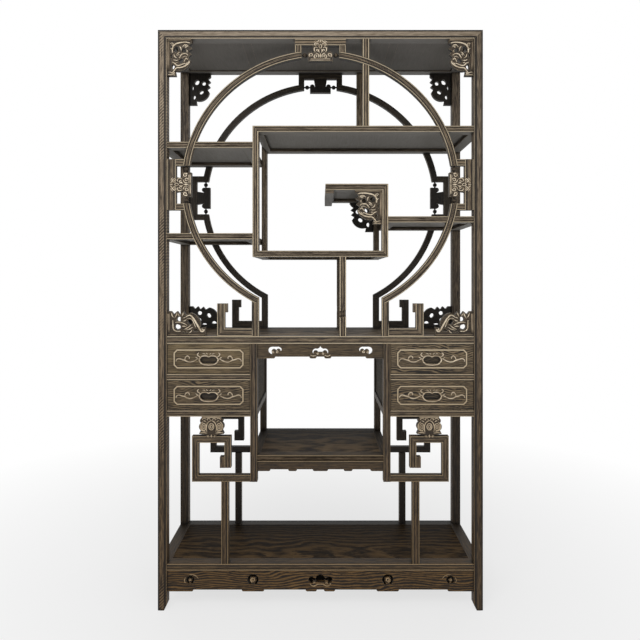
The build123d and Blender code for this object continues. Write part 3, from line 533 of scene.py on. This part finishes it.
post_wood = Wood(
    "post_wood", pale=linear(130, 115, 96), dark=linear(44, 36, 29), face=POST_FACE, boldness=0.45,
    bead_highlight=0.12, painted_shade_start=POST_PAINTED_SHADE_TOP,
)
ripple_wood = Wood(
    "ripple_wood", pale=linear(152, 136, 115), dark=linear(46, 38, 31), face=POST_FACE, boldness=0.3,
    ripple=0.6, bead_highlight=0.12, painted_shade_start=POST_PAINTED_SHADE_TOP,
)
top_wood = Wood("top_wood", pale=linear(160, 146, 127), dark=linear(106, 93, 77), face=POST_FACE)
rail_wood = Wood("rail_wood", face=RAIL_FACE, bead_highlight=0.8)
shelf_wood = Wood(
    "shelf_wood", pale=linear(124, 111, 95), dark=linear(54, 46, 38), face=RAIL_FACE, boldness=0.5,
    specular=0.05, painted_underside=linear(148, 144, 137),
)
bold_wood = Wood(
    "bold_wood", pale=linear(140, 116, 80), dark=linear(34, 26, 18), ring_width=0.009, boldness=1.3,
    sway=0.07, middle=0.32,
)
ring_wood = Wood(
    "ring_wood", face=RAIL_FACE, inside=INSIDE_PAINTED_SHADE, painted_underside=UNDERSIDE_PAINTED_SHADE, round_gate=True,
    ripple=0.25, bead_highlight=0.6, middle=0.4,
)
fret_wood = Wood("fret_wood", face=RAIL_FACE, inside=INSIDE_PAINTED_SHADE, painted_underside=UNDERSIDE_PAINTED_SHADE)
board_wood = Wood(
    "board_wood", pale=linear(150, 130, 102), dark=linear(44, 36, 27), ring_width=0.012, boldness=0.9,
    sway=0.06, specular=0.03, edge_wear_and_highlight=0.2,
)
case_wood = Wood(
    "case_wood", pale=linear(104, 94, 78), dark=linear(50, 44, 35), edge_wear_and_highlight=0.2, roughness=0.6,
    specular=0.06,
)
carved_wood = Wood(
    "carved_wood", pale=linear(80, 68, 53), dark=linear(30, 24, 18), inside=INSIDE_PAINTED_SHADE,
    painted_underside=UNDERSIDE_PAINTED_SHADE, edge_wear_and_highlight=0.6,
)
apron_wood = Wood("apron_wood", pale=linear(94, 79, 57), dark=linear(38, 30, 21), inside=INSIDE_PAINTED_SHADE)
drawer_wood = Wood(
    "drawer_wood", pale=linear(120, 104, 77), dark=linear(44, 35, 24), ridge_face=DRAWER_FACE,
)
bold_drawer_wood = Wood(
    "bold_drawer_wood", pale=linear(128, 111, 86), dark=linear(24, 19, 13), ridge_face=DRAWER_FACE,
    boldness=1.1, sway=0.1, middle=0.4,
)
# The carving's strokes are painted near white, where worn and as a painted highlight.
worn_and_highlit_ridge_wood = Wood(
    "worn_and_highlit_ridge_wood", pale=linear(240, 224, 198), dark=linear(160, 142, 116), inside=INSIDE_PAINTED_SHADE,
    relief=True,
)
strip_wood = Wood(
    "strip_wood", pale=linear(150, 134, 112), dark=linear(66, 55, 43), inside=INSIDE_PAINTED_SHADE, relief=True,
)

CASE_WORDS = ("case_side", "case_back", "runners", "dust", "battens", "walls", "bottom")


def node_wood(name):
    """The wood that a CAD node is made of."""
    if "drawer_front" in name:
        return drawer_wood if name.startswith("upper_left") else bold_drawer_wood
    if "gate_ring" in name:
        return ring_wood
    if "carved" in name or "bracket" in name or "lotus" in name:
        return carved_wood
    if "fret" in name or "gate" in name:
        return fret_wood
    if name == "front_left_post":
        return ripple_wood
    if name == "base_aprons":
        return bold_wood
    if "apron" in name:
        return apron_wood
    if name.startswith("top_") and "rails" in name:
        return top_wood
    if name.endswith("post") or name == "inner_posts":
        return post_wood
    if "panel" in name and "case" not in name:
        return board_wood
    if any(word in name for word in CASE_WORDS):
        return case_wood
    if "shelf" in name or "floor" in name:
        return shelf_wood
    return rail_wood


for name in sorted(nodes):
    lay_grain(nodes[name])
    slots = nodes[name].data.materials
    for place in range(len(slots)):
        slots[place] = node_wood(name).material


# Carving ----------------------------------------------------------------------------------------

# How deep a stroke is let into its face, and how square its crest is (1 is round, 0 is square)
EMBEDDED = 0.4
CREST = 0.5

# Shares of a stroke's width: a tapered one's at its ends and its gain to the middle, and a leaf's at its tip
TAPER_END = 0.55
TAPER_GAIN = 0.45
LEAF_TIP = 0.2


def smooth(points, steps=6):
    """A curve through points of (u, v, half width), as samples."""
    before_first = 2 * np.array(points[0]) - points[1]
    after_last = 2 * np.array(points[-1]) - points[-2]
    known = np.array([before_first, *points, after_last], float)
    samples = []
    for before, start, end, after in zip(known[:-3], known[1:-2], known[2:-1], known[3:]):
        for share in np.arange(steps) / steps:
            rise = (end - before) * share
            bend = (2 * before - 5 * start + 4 * end - after) * share**2
            twist = (3 * start - before - 3 * end + after) * share**3
            samples.append((2 * start + rise + bend + twist) / 2)
    samples.append(known[-2])
    return samples


def tapered(points, width, steps=6):
    """A curve through points of (u, v) that thins towards both ends."""
    turns = np.linspace(0, math.pi, len(points))
    widths = [width * (TAPER_END + TAPER_GAIN * math.sin(turn)) for turn in turns]
    return smooth([(*point, breadth) for point, breadth in zip(points, widths)], steps)


def around(centre, halves, angle, width):
    """A sample at an angle round a centre."""
    u = centre[0] + halves[0] * math.cos(angle)
    v = centre[1] + halves[1] * math.sin(angle)
    return np.array((u, v, width))


def curl(centre, radii, angles, widths, samples=22):
    """A spiral stroke, from its outer to its inner end. Angles are in degrees."""
    points = []
    for share in np.linspace(0, 1, samples):
        angle = math.radians(angles[0] + (angles[1] - angles[0]) * share)
        radius = radii[0] + (radii[1] - radii[0]) * share
        width = widths[0] + (widths[1] - widths[0]) * share
        points.append(around(centre, (radius, radius), angle, width))
    return points


def oval(centre, halves, width, samples=28):
    """The samples of a closed stroke round a centre."""
    angles = np.linspace(0, 2 * math.pi, samples, endpoint=False)
    return [around(centre, halves, angle, width) for angle in angles]


def leaf(start, middle, end, width):
    """A pointed stroke, widest in its middle."""
    tip = width * LEAF_TIP
    return smooth([(*start, tip), (*middle, width), (*end, tip)], 8)


def line(start, end, width):
    """A straight stroke."""
    middle = ((start[0] + end[0]) / 2, (start[1] + end[1]) / 2, width)
    return smooth([(*start, width), middle, (*end, width)], 2)


def both(strokes):
    """Strokes and their mirror images over u = 0."""
    return strokes + [[sample * (-1, 1, 1) for sample in samples] for samples in strokes]


class Carving:
    """Strokes cut on a face, gathered in one mesh. Strips are broad low strokes of plainer wood."""

    def __init__(self, place, most_rise, sides=10):
        self.mesh = bmesh.new()
        self.place = place
        self.most_rise = most_rise
        self.sides = sides

    def stroke(self, samples, closed=False, material=0):
        path = np.array(samples)
        ahead, behind = np.roll(path, -1, 0), np.roll(path, 1, 0)
        if not closed:
            ahead[-1], behind[0] = path[-1], path[0]
        rings = []
        for point, along in zip(path, (ahead - behind)[:, :2]):
            along = along / max(np.linalg.norm(along), 1e-9)
            rise = min(point[2], self.most_rise)
            ring = []
            for side in range(self.sides):
                turn = 2 * math.pi * side / self.sides
                off = point[2] * math.cos(turn)
                height = math.sin(turn)
                depth = rise * height**CREST if height > 0 else EMBEDDED * height
                spot = (point[0] - along[1] * off, point[1] + along[0] * off, depth)
                ring.append(self.mesh.verts.new(self.place(*spot)))
            rings.append(ring)
        faces = []
        for ring, following in zip(rings, rings[1:] + rings[:1] if closed else rings[1:]):
            for side in range(self.sides):
                nearby = (side + 1) % self.sides
                corners = (ring[side], ring[nearby], following[nearby], following[side])
                faces.append(self.mesh.faces.new(corners))
        if not closed:
            faces += [self.mesh.faces.new(rings[0]), self.mesh.faces.new(rings[-1])]
        for face in faces:
            face.material_index = material

    def draw(self, strokes=(), closed=(), strips=()):
        for samples in strokes:
            self.stroke(samples)
        for samples in closed:
            self.stroke(samples, closed=True)
        for samples in strips:
            self.stroke(samples, material=1)

    def finish(self, name, body="cabinet"):
        bmesh.ops.recalc_face_normals(self.mesh, faces=self.mesh.faces)
        mesh = bpy.data.meshes.new(name)
        self.mesh.to_mesh(mesh)
        self.mesh.free()
        mesh.shade_smooth()
        piece = bpy.data.objects.new(name, mesh)
        bpy.context.scene.collection.objects.link(piece)
        mesh.materials.append(worn_and_highlit_ridge_wood.material)
        if any(polygon.material_index for polygon in mesh.polygons):
            mesh.materials.append(strip_wood.material)
        lay_grain(piece)
        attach(piece, body)


def on_face(corner, right, up, face_y):
    """Places (u, v, depth) in millimetres: u along right, v along up, depth away from the cabinet."""
    outward = 1 if face_y > 0 else -1

    def place(u, v, depth):
        x = corner[0] + (u * right[0] + v * up[0]) / 1000
        z = corner[1] + (u * right[1] + v * up[1]) / 1000
        return (x, face_y + outward * depth / 1000, z)

    return place


FACES = (("front", 1), ("back", -1))


# Brackets. The sides of each hanging board, as drawn, are in millimetres.

TOP_BRACKET = (84, 124)
SPIRAL_BRACKET = (90, 116)
BRACKET_RISE = 2.6

# Metres: how thick the middle box's posts are, and how far the nub hangs below the spiral shelf
BOX_POST = 0.020
SPIRAL_NUB = 0.012


def hanging_bracket(width, height):
    """A dragon-tail scroll, u away from the post and v down from the rail, fitted to a size.

    The strokes are drawn for the top brackets, where they keep clear of the holes cut through the board.
    """
    arch = [(18.5, 47), (18, 37), (20, 28), (27, 19.5), (38, 14.8), (49, 12.5), (61, 11.8), (71, 12.8),
            (77, 14.5)]
    wave = [(41, 65), (45, 59), (49.5, 53), (57, 50.5), (65, 51), (71, 56)]
    outer_band = [(74, 74), (74.4, 79), (70.5, 85), (63.5, 90.5), (54, 95), (44, 97.5), (34, 98), (28.5, 102),
                  (23, 109), (18, 117)]
    inner_band = [(17, 79), (25, 82), (31, 88), (38, 90.5), (46, 88.5), (54, 85), (61, 82)]
    strokes = [
        tapered(arch, 3.1),
        tapered(wave, 2.6),
        tapered(outer_band, 2.9),
        tapered(inner_band, 2.5),
        tapered([(57, 77), (61, 70), (65, 65), (68.5, 69), (71.5, 68)], 2.1),
        tapered([(12, 31), (16, 35), (19, 41)], 1.8),
        tapered([(52, 28), (56, 22.5), (62, 19.5), (69, 22), (70, 28)], 1.8),
        curl((63, 26.5), (4, 1.4), (200, 560), (1.5, 1.1)),
        curl((17, 19), (5.5, 1.8), (200, 560), (1.7, 1.2)),
        tapered([(5, 112), (12, 113), (18, 116), (24, 116.5), (25.5, 112)], 1.9),
        line((4, 121), (27, 121.2), 1.6),
        leaf((41, 24), (46, 30), (48, 41), 2.0),
        leaf((44, 43), (37, 49), (30, 57), 2.2),
        leaf((23, 50), (26, 60), (35, 66), 2.1),
        leaf((21, 69), (29, 73), (38, 71), 2.0),
        leaf((66, 36), (68, 41), (66, 47), 1.6),
        leaf((28, 78), (33, 81), (37, 79), 1.7),
        leaf((59, 87), (65, 84), (69, 78), 1.7),
        leaf((57, 57), (63, 59.5), (68.5, 59), 1.7),
        leaf((50, 63), (55, 61), (60, 58), 1.4),
        leaf((34, 58), (38, 54), (43, 50), 1.4),
    ]
    strips = [line((4.5, 9), (4.5, 108), 4.2), line((2, 3.8), (width - 3, 3.8), 3.4)]
    fit = np.array((width / TOP_BRACKET[0], height / TOP_BRACKET[1], 1))
    return [[[sample * fit for sample in samples] for samples in group] for group in (strokes, strips)]


def standing_bracket():
    """A thick arched stem over leaves, u away from the post and v up from the deck.

    The strokes keep clear of the holes that are cut through the board.
    """
    stem = [(64, 64), (71, 69), (79, 69.5), (87, 62), (94, 52), (100.5, 41), (106.5, 30.5), (111.5, 21),
            (117, 15), (123, 16.5), (125.5, 23)]
    strokes = [
        tapered(stem, 3.3),
        tapered([(66, 59.5), (74, 60), (82, 58), (88, 50.5), (92, 41), (95, 33.5), (97, 29.5)], 1.6),
        tapered([(28, 46), (42, 47), (56, 43), (68, 36)], 2.1),
        tapered([(19, 54), (20, 38), (22, 23), (32, 16), (46, 16.5)], 2.1),
        leaf((56, 22), (68, 27), (82, 38), 2.3),
        leaf((62, 20), (75, 23), (88, 31), 2.1),
        leaf((72, 9.5), (80, 14), (85, 22), 1.8),
        leaf((48, 33), (58, 33), (66, 31), 1.9),
        leaf((25, 60), (31, 70), (34, 80), 2.2),
        leaf((21, 62), (17, 70), (14, 79), 2.0),
        leaf((50, 66), (53, 73), (55, 80), 2.0),
        leaf((42, 68), (39, 71), (36, 76), 1.5),
        leaf((52, 50), (60, 52), (67, 57), 1.9),
        leaf((52, 60), (58, 62), (64, 64), 1.6),
        curl((118.5, 21.5), (2.9, 1.1), (150, -200), (1.3, 1.0)),
    ]
    strips = [line((5, 10), (5, 76), 4.6), line((4, 4.5), (127, 4.5), 2.6)]
    return strokes, strips


def bracket_carvings():
    """Relief on the outer face of every bracket."""
    low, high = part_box("front_brackets")
    box_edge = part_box("box_posts")[1].x - BOX_POST
    spiral_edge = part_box("spiral_shelf")[0].z + SPIRAL_NUB
    places = [
        ("top_left", (-high.x, high.z), (1, 0), (0, -1), hanging_bracket(*TOP_BRACKET)),
        ("top_right", (high.x, high.z), (-1, 0), (0, -1), hanging_bracket(*TOP_BRACKET)),
        ("deck_left", (-high.x, low.z), (1, 0), (0, 1), standing_bracket()),
        ("deck_right", (high.x, low.z), (-1, 0), (0, 1), standing_bracket()),
        ("spiral", (box_edge, spiral_edge), (-1, 0), (0, -1), hanging_bracket(*SPIRAL_BRACKET)),
    ]
    for face, sign in FACES:
        for name, corner, right, up, (strokes, strips) in places:
            carving = Carving(on_face(corner, right, up, sign * low.y), BRACKET_RISE)
            carving.draw(strokes, strips=strips)
            carving.finish(f"{face}_{name}_bracket_carving")


# Carved blocks of the gate, in millimetres: how far a block's inner edge is from the gate's centre. The
# strokes of the blocks and the lotus rise by FLAT_RISE at most, and so stay inside the CAD box.

TOP_BLOCK = 416.8
SIDE_BLOCK = 436
FLAT_RISE = 0.95


def block_strokes():
    """Scrolls on the body of a carved block, leaves up its neck and a ruyi head over its frame.

    Drawn from the middle of the block's inner edge. The neck is narrower than the body and the frame.
    """
    side = [
        line((0, 3), (34, 3), 1.4),
        line((0, 7.6), (33, 7.6), 1.1),
        curl((31, 20), (7.4, 2.4), (-60, 330), (2.0, 1.4)),
        curl((15.5, 16), (6.6, 2), (-80, 300), (1.9, 1.3)),
        tapered([(6, 12), (6, 20), (11, 25.5), (17, 26.5)], 1.8),
        tapered([(17, 30), (20.5, 36), (20.5, 43), (15, 47), (9, 44)], 1.9),
        curl((11, 36), (4.6, 1.6), (240, -100), (1.7, 1.2)),
        tapered([(14, 51), (19, 56), (16, 62), (9, 66), (4, 71)], 2.2),
        curl((9.5, 57), (4, 1.4), (-40, 300), (1.6, 1.1)),
        leaf((2.5, 27), (5.5, 34), (3.5, 42), 1.9),
        leaf((24, 62), (19, 66), (13, 70), 1.6),
    ]
    middle = [leaf((0, 10), (0, 18), (0, 27), 3.0), leaf((0, 63), (0, 68), (0, 73), 2.2)]
    return both(side) + middle, [oval((0, 50), (4.2, 6.5), 1.3)]


def gate_block_carvings():
    """Relief on the three carved blocks of each ring, turned round the gate's centre."""
    blocks = (("top", 0, TOP_BLOCK), ("left", -90, SIDE_BLOCK), ("right", 90, SIDE_BLOCK))
    for face, sign in FACES:
        for name, angle, low in blocks:
            turn = math.radians(angle)
            up = (math.sin(turn), math.cos(turn))
            right = (math.cos(turn), -math.sin(turn))
            corner = (low / 1000 * up[0], GATE_CENTRE + low / 1000 * up[1])
            carving = Carving(on_face(corner, right, up, -sign * RAIL_FACE), FLAT_RISE)
            carving.draw(*block_strokes())
            carving.finish(f"{face}_{name}_gate_block_carving")


# Lotus blocks. Their width is in metres.

LOTUS_WIDTH = 0.084


def lotus_strokes():
    """Petals of a lotus over its stem, from the middle of its foot."""
    side = [
        tapered([(15, 14), (17, 28), (14, 42), (7, 50), (0, 53)], 1.9),
        tapered([(20, 16), (33, 20), (38, 31), (35, 43), (28, 49)], 1.9),
        tapered([(14, 10.5), (26, 12), (39, 11)], 1.8),
        tapered([(3, 56), (8, 60), (14, 58), (12, 53.5)], 1.6),
        tapered([(17, 57), (23, 60.5), (29, 59), (31, 54.5)], 1.6),
        leaf((17, 47), (22, 51), (27, 53), 1.6),
        line((11, -4), (12, 3), 1.5),
    ]
    middle = [line((-33, 64), (33, 64), 1.3), leaf((0, -5), (0, 0), (0, 6), 2.4)]
    closed = [oval((0, 32), (8.4, 10.6), 1.7), oval((0, 32), (3.6, 5.4), 1.4)]
    closed += [oval((x, 31), (7.5, 12), 1.6) for x in (-25.5, 25.5)]
    closed += [oval((x, 31), (3, 6.5), 1.3) for x in (-25.5, 25.5)]
    return both(side) + middle, closed


def lotus_carvings():
    low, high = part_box("lotus_blocks")
    middle = high.x - LOTUS_WIDTH / 2
    for face, sign in FACES:
        for side_name, side in (("left", -1), ("right", 1)):
            carving = Carving(on_face((side * middle, low.z), (1, 0), (0, 1), -sign * high.y), FLAT_RISE)
            carving.draw(*lotus_strokes())
            carving.finish(f"{face}_{side_name}_lotus_carving")


# Drawer fronts

DRAWER_RISE = 1.8


def drawer_strokes():
    """Vines on both sides of a grip, whose rim has a cusp and two horns. Drawn from the front's middle.

    The rim overhangs the edge of the grip's slot, most of all at the cusp.
    """
    vine = [(33.7, 0.9), (41, -2.8), (50, -7.8), (61.4, -11), (71.6, -9.6), (80, -5.2), (89, -2.8),
            (98.4, 0.4), (105, -0.4), (109.5, -4.6), (110, -8.9)]
    lower_rim = [(31.5, -1), (31.5, -5.6), (26.3, -13.9), (17, -19.4), (0, -21.3)]
    upper_rim = [(31.5, -1), (24.4, 7.4), (15.2, 9.8), (5.9, 9.3), (0, 5.9)]
    side = [
        tapered(vine, 2.4),
        smooth([(*point, 2.2) for point in lower_rim]),
        smooth([(*point, 2.0) for point in upper_rim]),
        tapered([(80.8, -2.8), (78, 5.2), (71.6, 9.3), (66, 5.9), (65.5, 0)], 2.2),
        tapered([(26.3, 4.6), (35.5, 10.2), (37.7, 15.7), (32.7, 20.4)], 2.1),
        leaf((45, 5.4), (40.5, 3.4), (36.4, 0), 1.7),
        leaf((2, 15), (6, 17), (8, 20), 1.5),
        leaf((10, 14.5), (15, 17), (22, 17.5), 1.4),
    ]
    return both(side)


def drawer_carvings():
    """Carved vines and the rim of the grip on each drawer front."""
    for name in ("upper_left", "upper_right", "lower_left", "lower_right"):
        low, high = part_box(f"{name}_drawer_front")
        middle = ((low.x + high.x) / 2, (low.z + high.z) / 2)
        carving = Carving(on_face(middle, (1, 0), (0, 1), -DRAWER_FACE), DRAWER_RISE)
        carving.draw(drawer_strokes())
        carving.finish(f"{name}_drawer_carving", f"{name}_drawer")


# Aprons. Their heights, without the lobes that hang below them, are in metres.

BASE_APRON = 0.066
CENTRE_APRON = 0.044

# Places along them are in millimetres from the middle of each apron, measured without those lobes.
BASE_SCROLL = 228
END_SCROLL = 440
CRESCENT = 154
APRON_RISE = 1.8


def base_apron_strokes():
    """A spiral on the disc of each scroll, and a line of curls under the cloud."""
    over_end = [(END_SCROLL - 27, 5), (END_SCROLL - 20, 13), (END_SCROLL - 9, 17.5), (END_SCROLL + 3, 18)]
    past_end = [(END_SCROLL + 16.5, 8), (END_SCROLL + 20, -1), (END_SCROLL + 16, -11)]
    side = [
        curl((BASE_SCROLL, 0), (8.0, 2.8), (-80, 400), (2.0, 1.4), 32),
        curl((END_SCROLL, 0), (3.8, 1.4), (-80, 400), (1.4, 1.1), 26),
        tapered(over_end, 1.6),
        tapered(past_end, 1.6),
        tapered([(0, -14.5), (9, -14.5), (15, -18), (23, -20.5), (31, -18), (35, -11)], 2.1),
        curl((20, -10), (3.8, 1.3), (-60, 300), (1.5, 1.1)),
    ]
    return both(side)


def centre_apron_strokes():
    """Curls inside the crescents and the ogee of the apron under the deck."""
    side = [
        curl((CRESCENT + 5.5, -7), (3.6, 1.4), (100, -260), (1.5, 1.1)),
        curl((CRESCENT - 7, -6), (4.4, 1.5), (80, 440), (1.7, 1.2)),
        curl((9.5, -11.5), (3.6, 1.3), (90, 450), (1.5, 1.1)),
        tapered([(15, -17), (21, -19.5), (28, -19.5), (34, -16)], 1.8),
    ]
    return both(side)


def apron_carvings():
    """Light curls on the base apron and on the apron under the deck."""
    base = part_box("base_aprons")[1].z - BASE_APRON / 2
    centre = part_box("middle_bay_aprons")[1].z - CENTRE_APRON / 2
    places = (("base", base, base_apron_strokes()), ("centre", centre, centre_apron_strokes()))
    for face, sign in FACES:
        for name, height, strokes in places:
            carving = Carving(on_face((0, height), (1, 0), (0, 1), -sign * APRON_FACE), APRON_RISE)
            carving.draw(strokes)
            carving.finish(f"{face}_{name}_apron_carving")


bracket_carvings()
gate_block_carvings()
lotus_carvings()
drawer_carvings()
apron_carvings()


# Stage, light and camera ------------------------------------------------------------------------


def seen_directly(tree):
    """1 where the camera, a reflection or a look through glass meets the background."""
    path = new_node(tree, "ShaderNodeLightPath").outputs
    seen = math_node(tree, "ADD", path["Is Camera Ray"], path["Is Glossy Ray"], clamp=True)
    return math_node(tree, "ADD", seen, path["Is Transmission Ray"], clamp=True)


FLOOR_HALF = 14
PALE_FLOOR = (0.8, 0.8, 0.8, 1)
PAINTED_SHADOW_FLOOR = (0.05, 0.045, 0.04, 1)

# The floor is painted dark, as a painted shadow, between the first two depths and pale again between the
# second two. The constant after them is the same for the distance from the middle.
PAINTED_SHADOW_START = (-0.045, -0.01)
PAINTED_SHADOW_END = (0.17, 0.12)
PAINTED_SHADOW_SIDES = (0.55, 0.53)

# The share of plain white in the floor near the cabinet, what it gains further out, and between which
# distances
NEAR_WHITE = 0.7
FAR_GAIN = 0.3
WHITE_RAMP = (0.5, 2.3)

SKY_STRENGTH = 0.32


def floor():
    """A pale floor that fades into the white of the background, with a painted shadow under the cabinet."""
    mesh = bpy.data.meshes.new("floor")
    corners = [(x * FLOOR_HALF, y * FLOOR_HALF, 0) for x, y in ((-1, -1), (1, -1), (1, 1), (-1, 1))]
    mesh.from_pydata(corners, [], [(0, 1, 2, 3)])
    plane = bpy.data.objects.new("floor", mesh)
    bpy.context.scene.collection.objects.link(plane)
    material = bpy.data.materials.new("floor")
    material.use_nodes = True
    tree = material.node_tree
    tree.nodes.clear()
    place = new_node(tree, "ShaderNodeTexCoord").outputs["Object"]
    x, y, _ = new_node(tree, "ShaderNodeSeparateXYZ", {0: place}).outputs

    # Painted shadow: the floor is painted dark under the middle and rear of the cabinet, with no white there.
    under = math_node(tree, "MULTIPLY", ramp_node(tree, y, *PAINTED_SHADOW_START), ramp_node(tree, y, *PAINTED_SHADOW_END))
    to_side = math_node(tree, "ABSOLUTE", x)
    under = math_node(tree, "MULTIPLY", under, ramp_node(tree, to_side, *PAINTED_SHADOW_SIDES))
    reach = new_node(tree, "ShaderNodeVectorMath", {0: place}, operation="LENGTH").outputs["Value"]
    share = math_node(tree, "MULTIPLY", ramp_node(tree, reach, *WHITE_RAMP), FAR_GAIN)
    share = math_node(tree, "ADD", NEAR_WHITE, share, clamp=True)
    share = math_node(tree, "MULTIPLY", share, math_node(tree, "SUBTRACT", 1.0, under))
    share = math_node(tree, "MULTIPLY", share, seen_directly(tree))
    inputs = {0: under, 6: PALE_FLOOR, 7: PAINTED_SHADOW_FLOOR}
    tint = new_node(tree, "ShaderNodeMix", inputs, data_type="RGBA").outputs[2]
    matt = new_node(tree, "ShaderNodeBsdfDiffuse", {"Color": tint})
    white = new_node(tree, "ShaderNodeEmission", {"Color": (1, 1, 1, 1), "Strength": 1.0})
    mixed = new_node(tree, "ShaderNodeMixShader", {0: share, 1: matt.outputs[0], 2: white.outputs[0]})
    new_node(tree, "ShaderNodeOutputMaterial", {"Surface": mixed.outputs[0]})
    mesh.materials.append(material)


def world(strength):
    """Soft light all round, and white where the camera or a reflection sees past the floor."""
    sky = bpy.data.worlds.new("studio")
    sky.use_nodes = True
    tree = sky.node_tree
    tree.nodes.clear()
    light = new_node(tree, "ShaderNodeBackground", {"Color": (1, 1, 1, 1), "Strength": strength})
    white = new_node(tree, "ShaderNodeBackground", {"Color": (1, 1, 1, 1), "Strength": 1.0})
    inputs = {0: seen_directly(tree), 1: light.outputs[0], 2: white.outputs[0]}
    mixed = new_node(tree, "ShaderNodeMixShader", inputs)
    new_node(tree, "ShaderNodeOutputWorld", {"Surface": mixed.outputs[0]})
    bpy.context.scene.world = sky


def lamp(name, spot, target, size, power):
    light = bpy.data.lights.new(name, "AREA")
    light.shape = "RECTANGLE"
    light.size, light.size_y = size
    light.energy = power
    holder = bpy.data.objects.new(name, light)
    holder.location = spot
    holder.rotation_euler = (Vector(target) - Vector(spot)).to_track_quat("-Z", "Y").to_euler()
    bpy.context.scene.collection.objects.link(holder)


def camera():
    data = bpy.data.cameras.new("camera")
    data.lens = LENS
    data.sensor_width = SENSOR
    data.shift_x = SIDE_SHIFT
    data.shift_y = HORIZON_SHIFT
    holder = bpy.data.objects.new("camera", data)
    holder.location = (0, FRONT - CAMERA_DISTANCE, CAMERA_HEIGHT)
    holder.rotation_euler = (math.radians(90), 0, 0)
    bpy.context.scene.collection.objects.link(holder)
    bpy.context.scene.camera = holder


floor()
world(SKY_STRENGTH)
lamp("key", spot=(-0.8, -2.6, 2.75), target=(0, 0, 1.3), size=(2.0, 1.4), power=44)
lamp("fill", spot=(1.4, -2.9, 1.9), target=(0, 0, 1.2), size=(1.6, 1.6), power=9)
lamp("bounce", spot=(0, -2.3, 0.25), target=(0, 0, 1.9), size=(2.0, 0.6), power=14)
camera()
bpy.context.scene.view_settings.view_transform = "Standard"
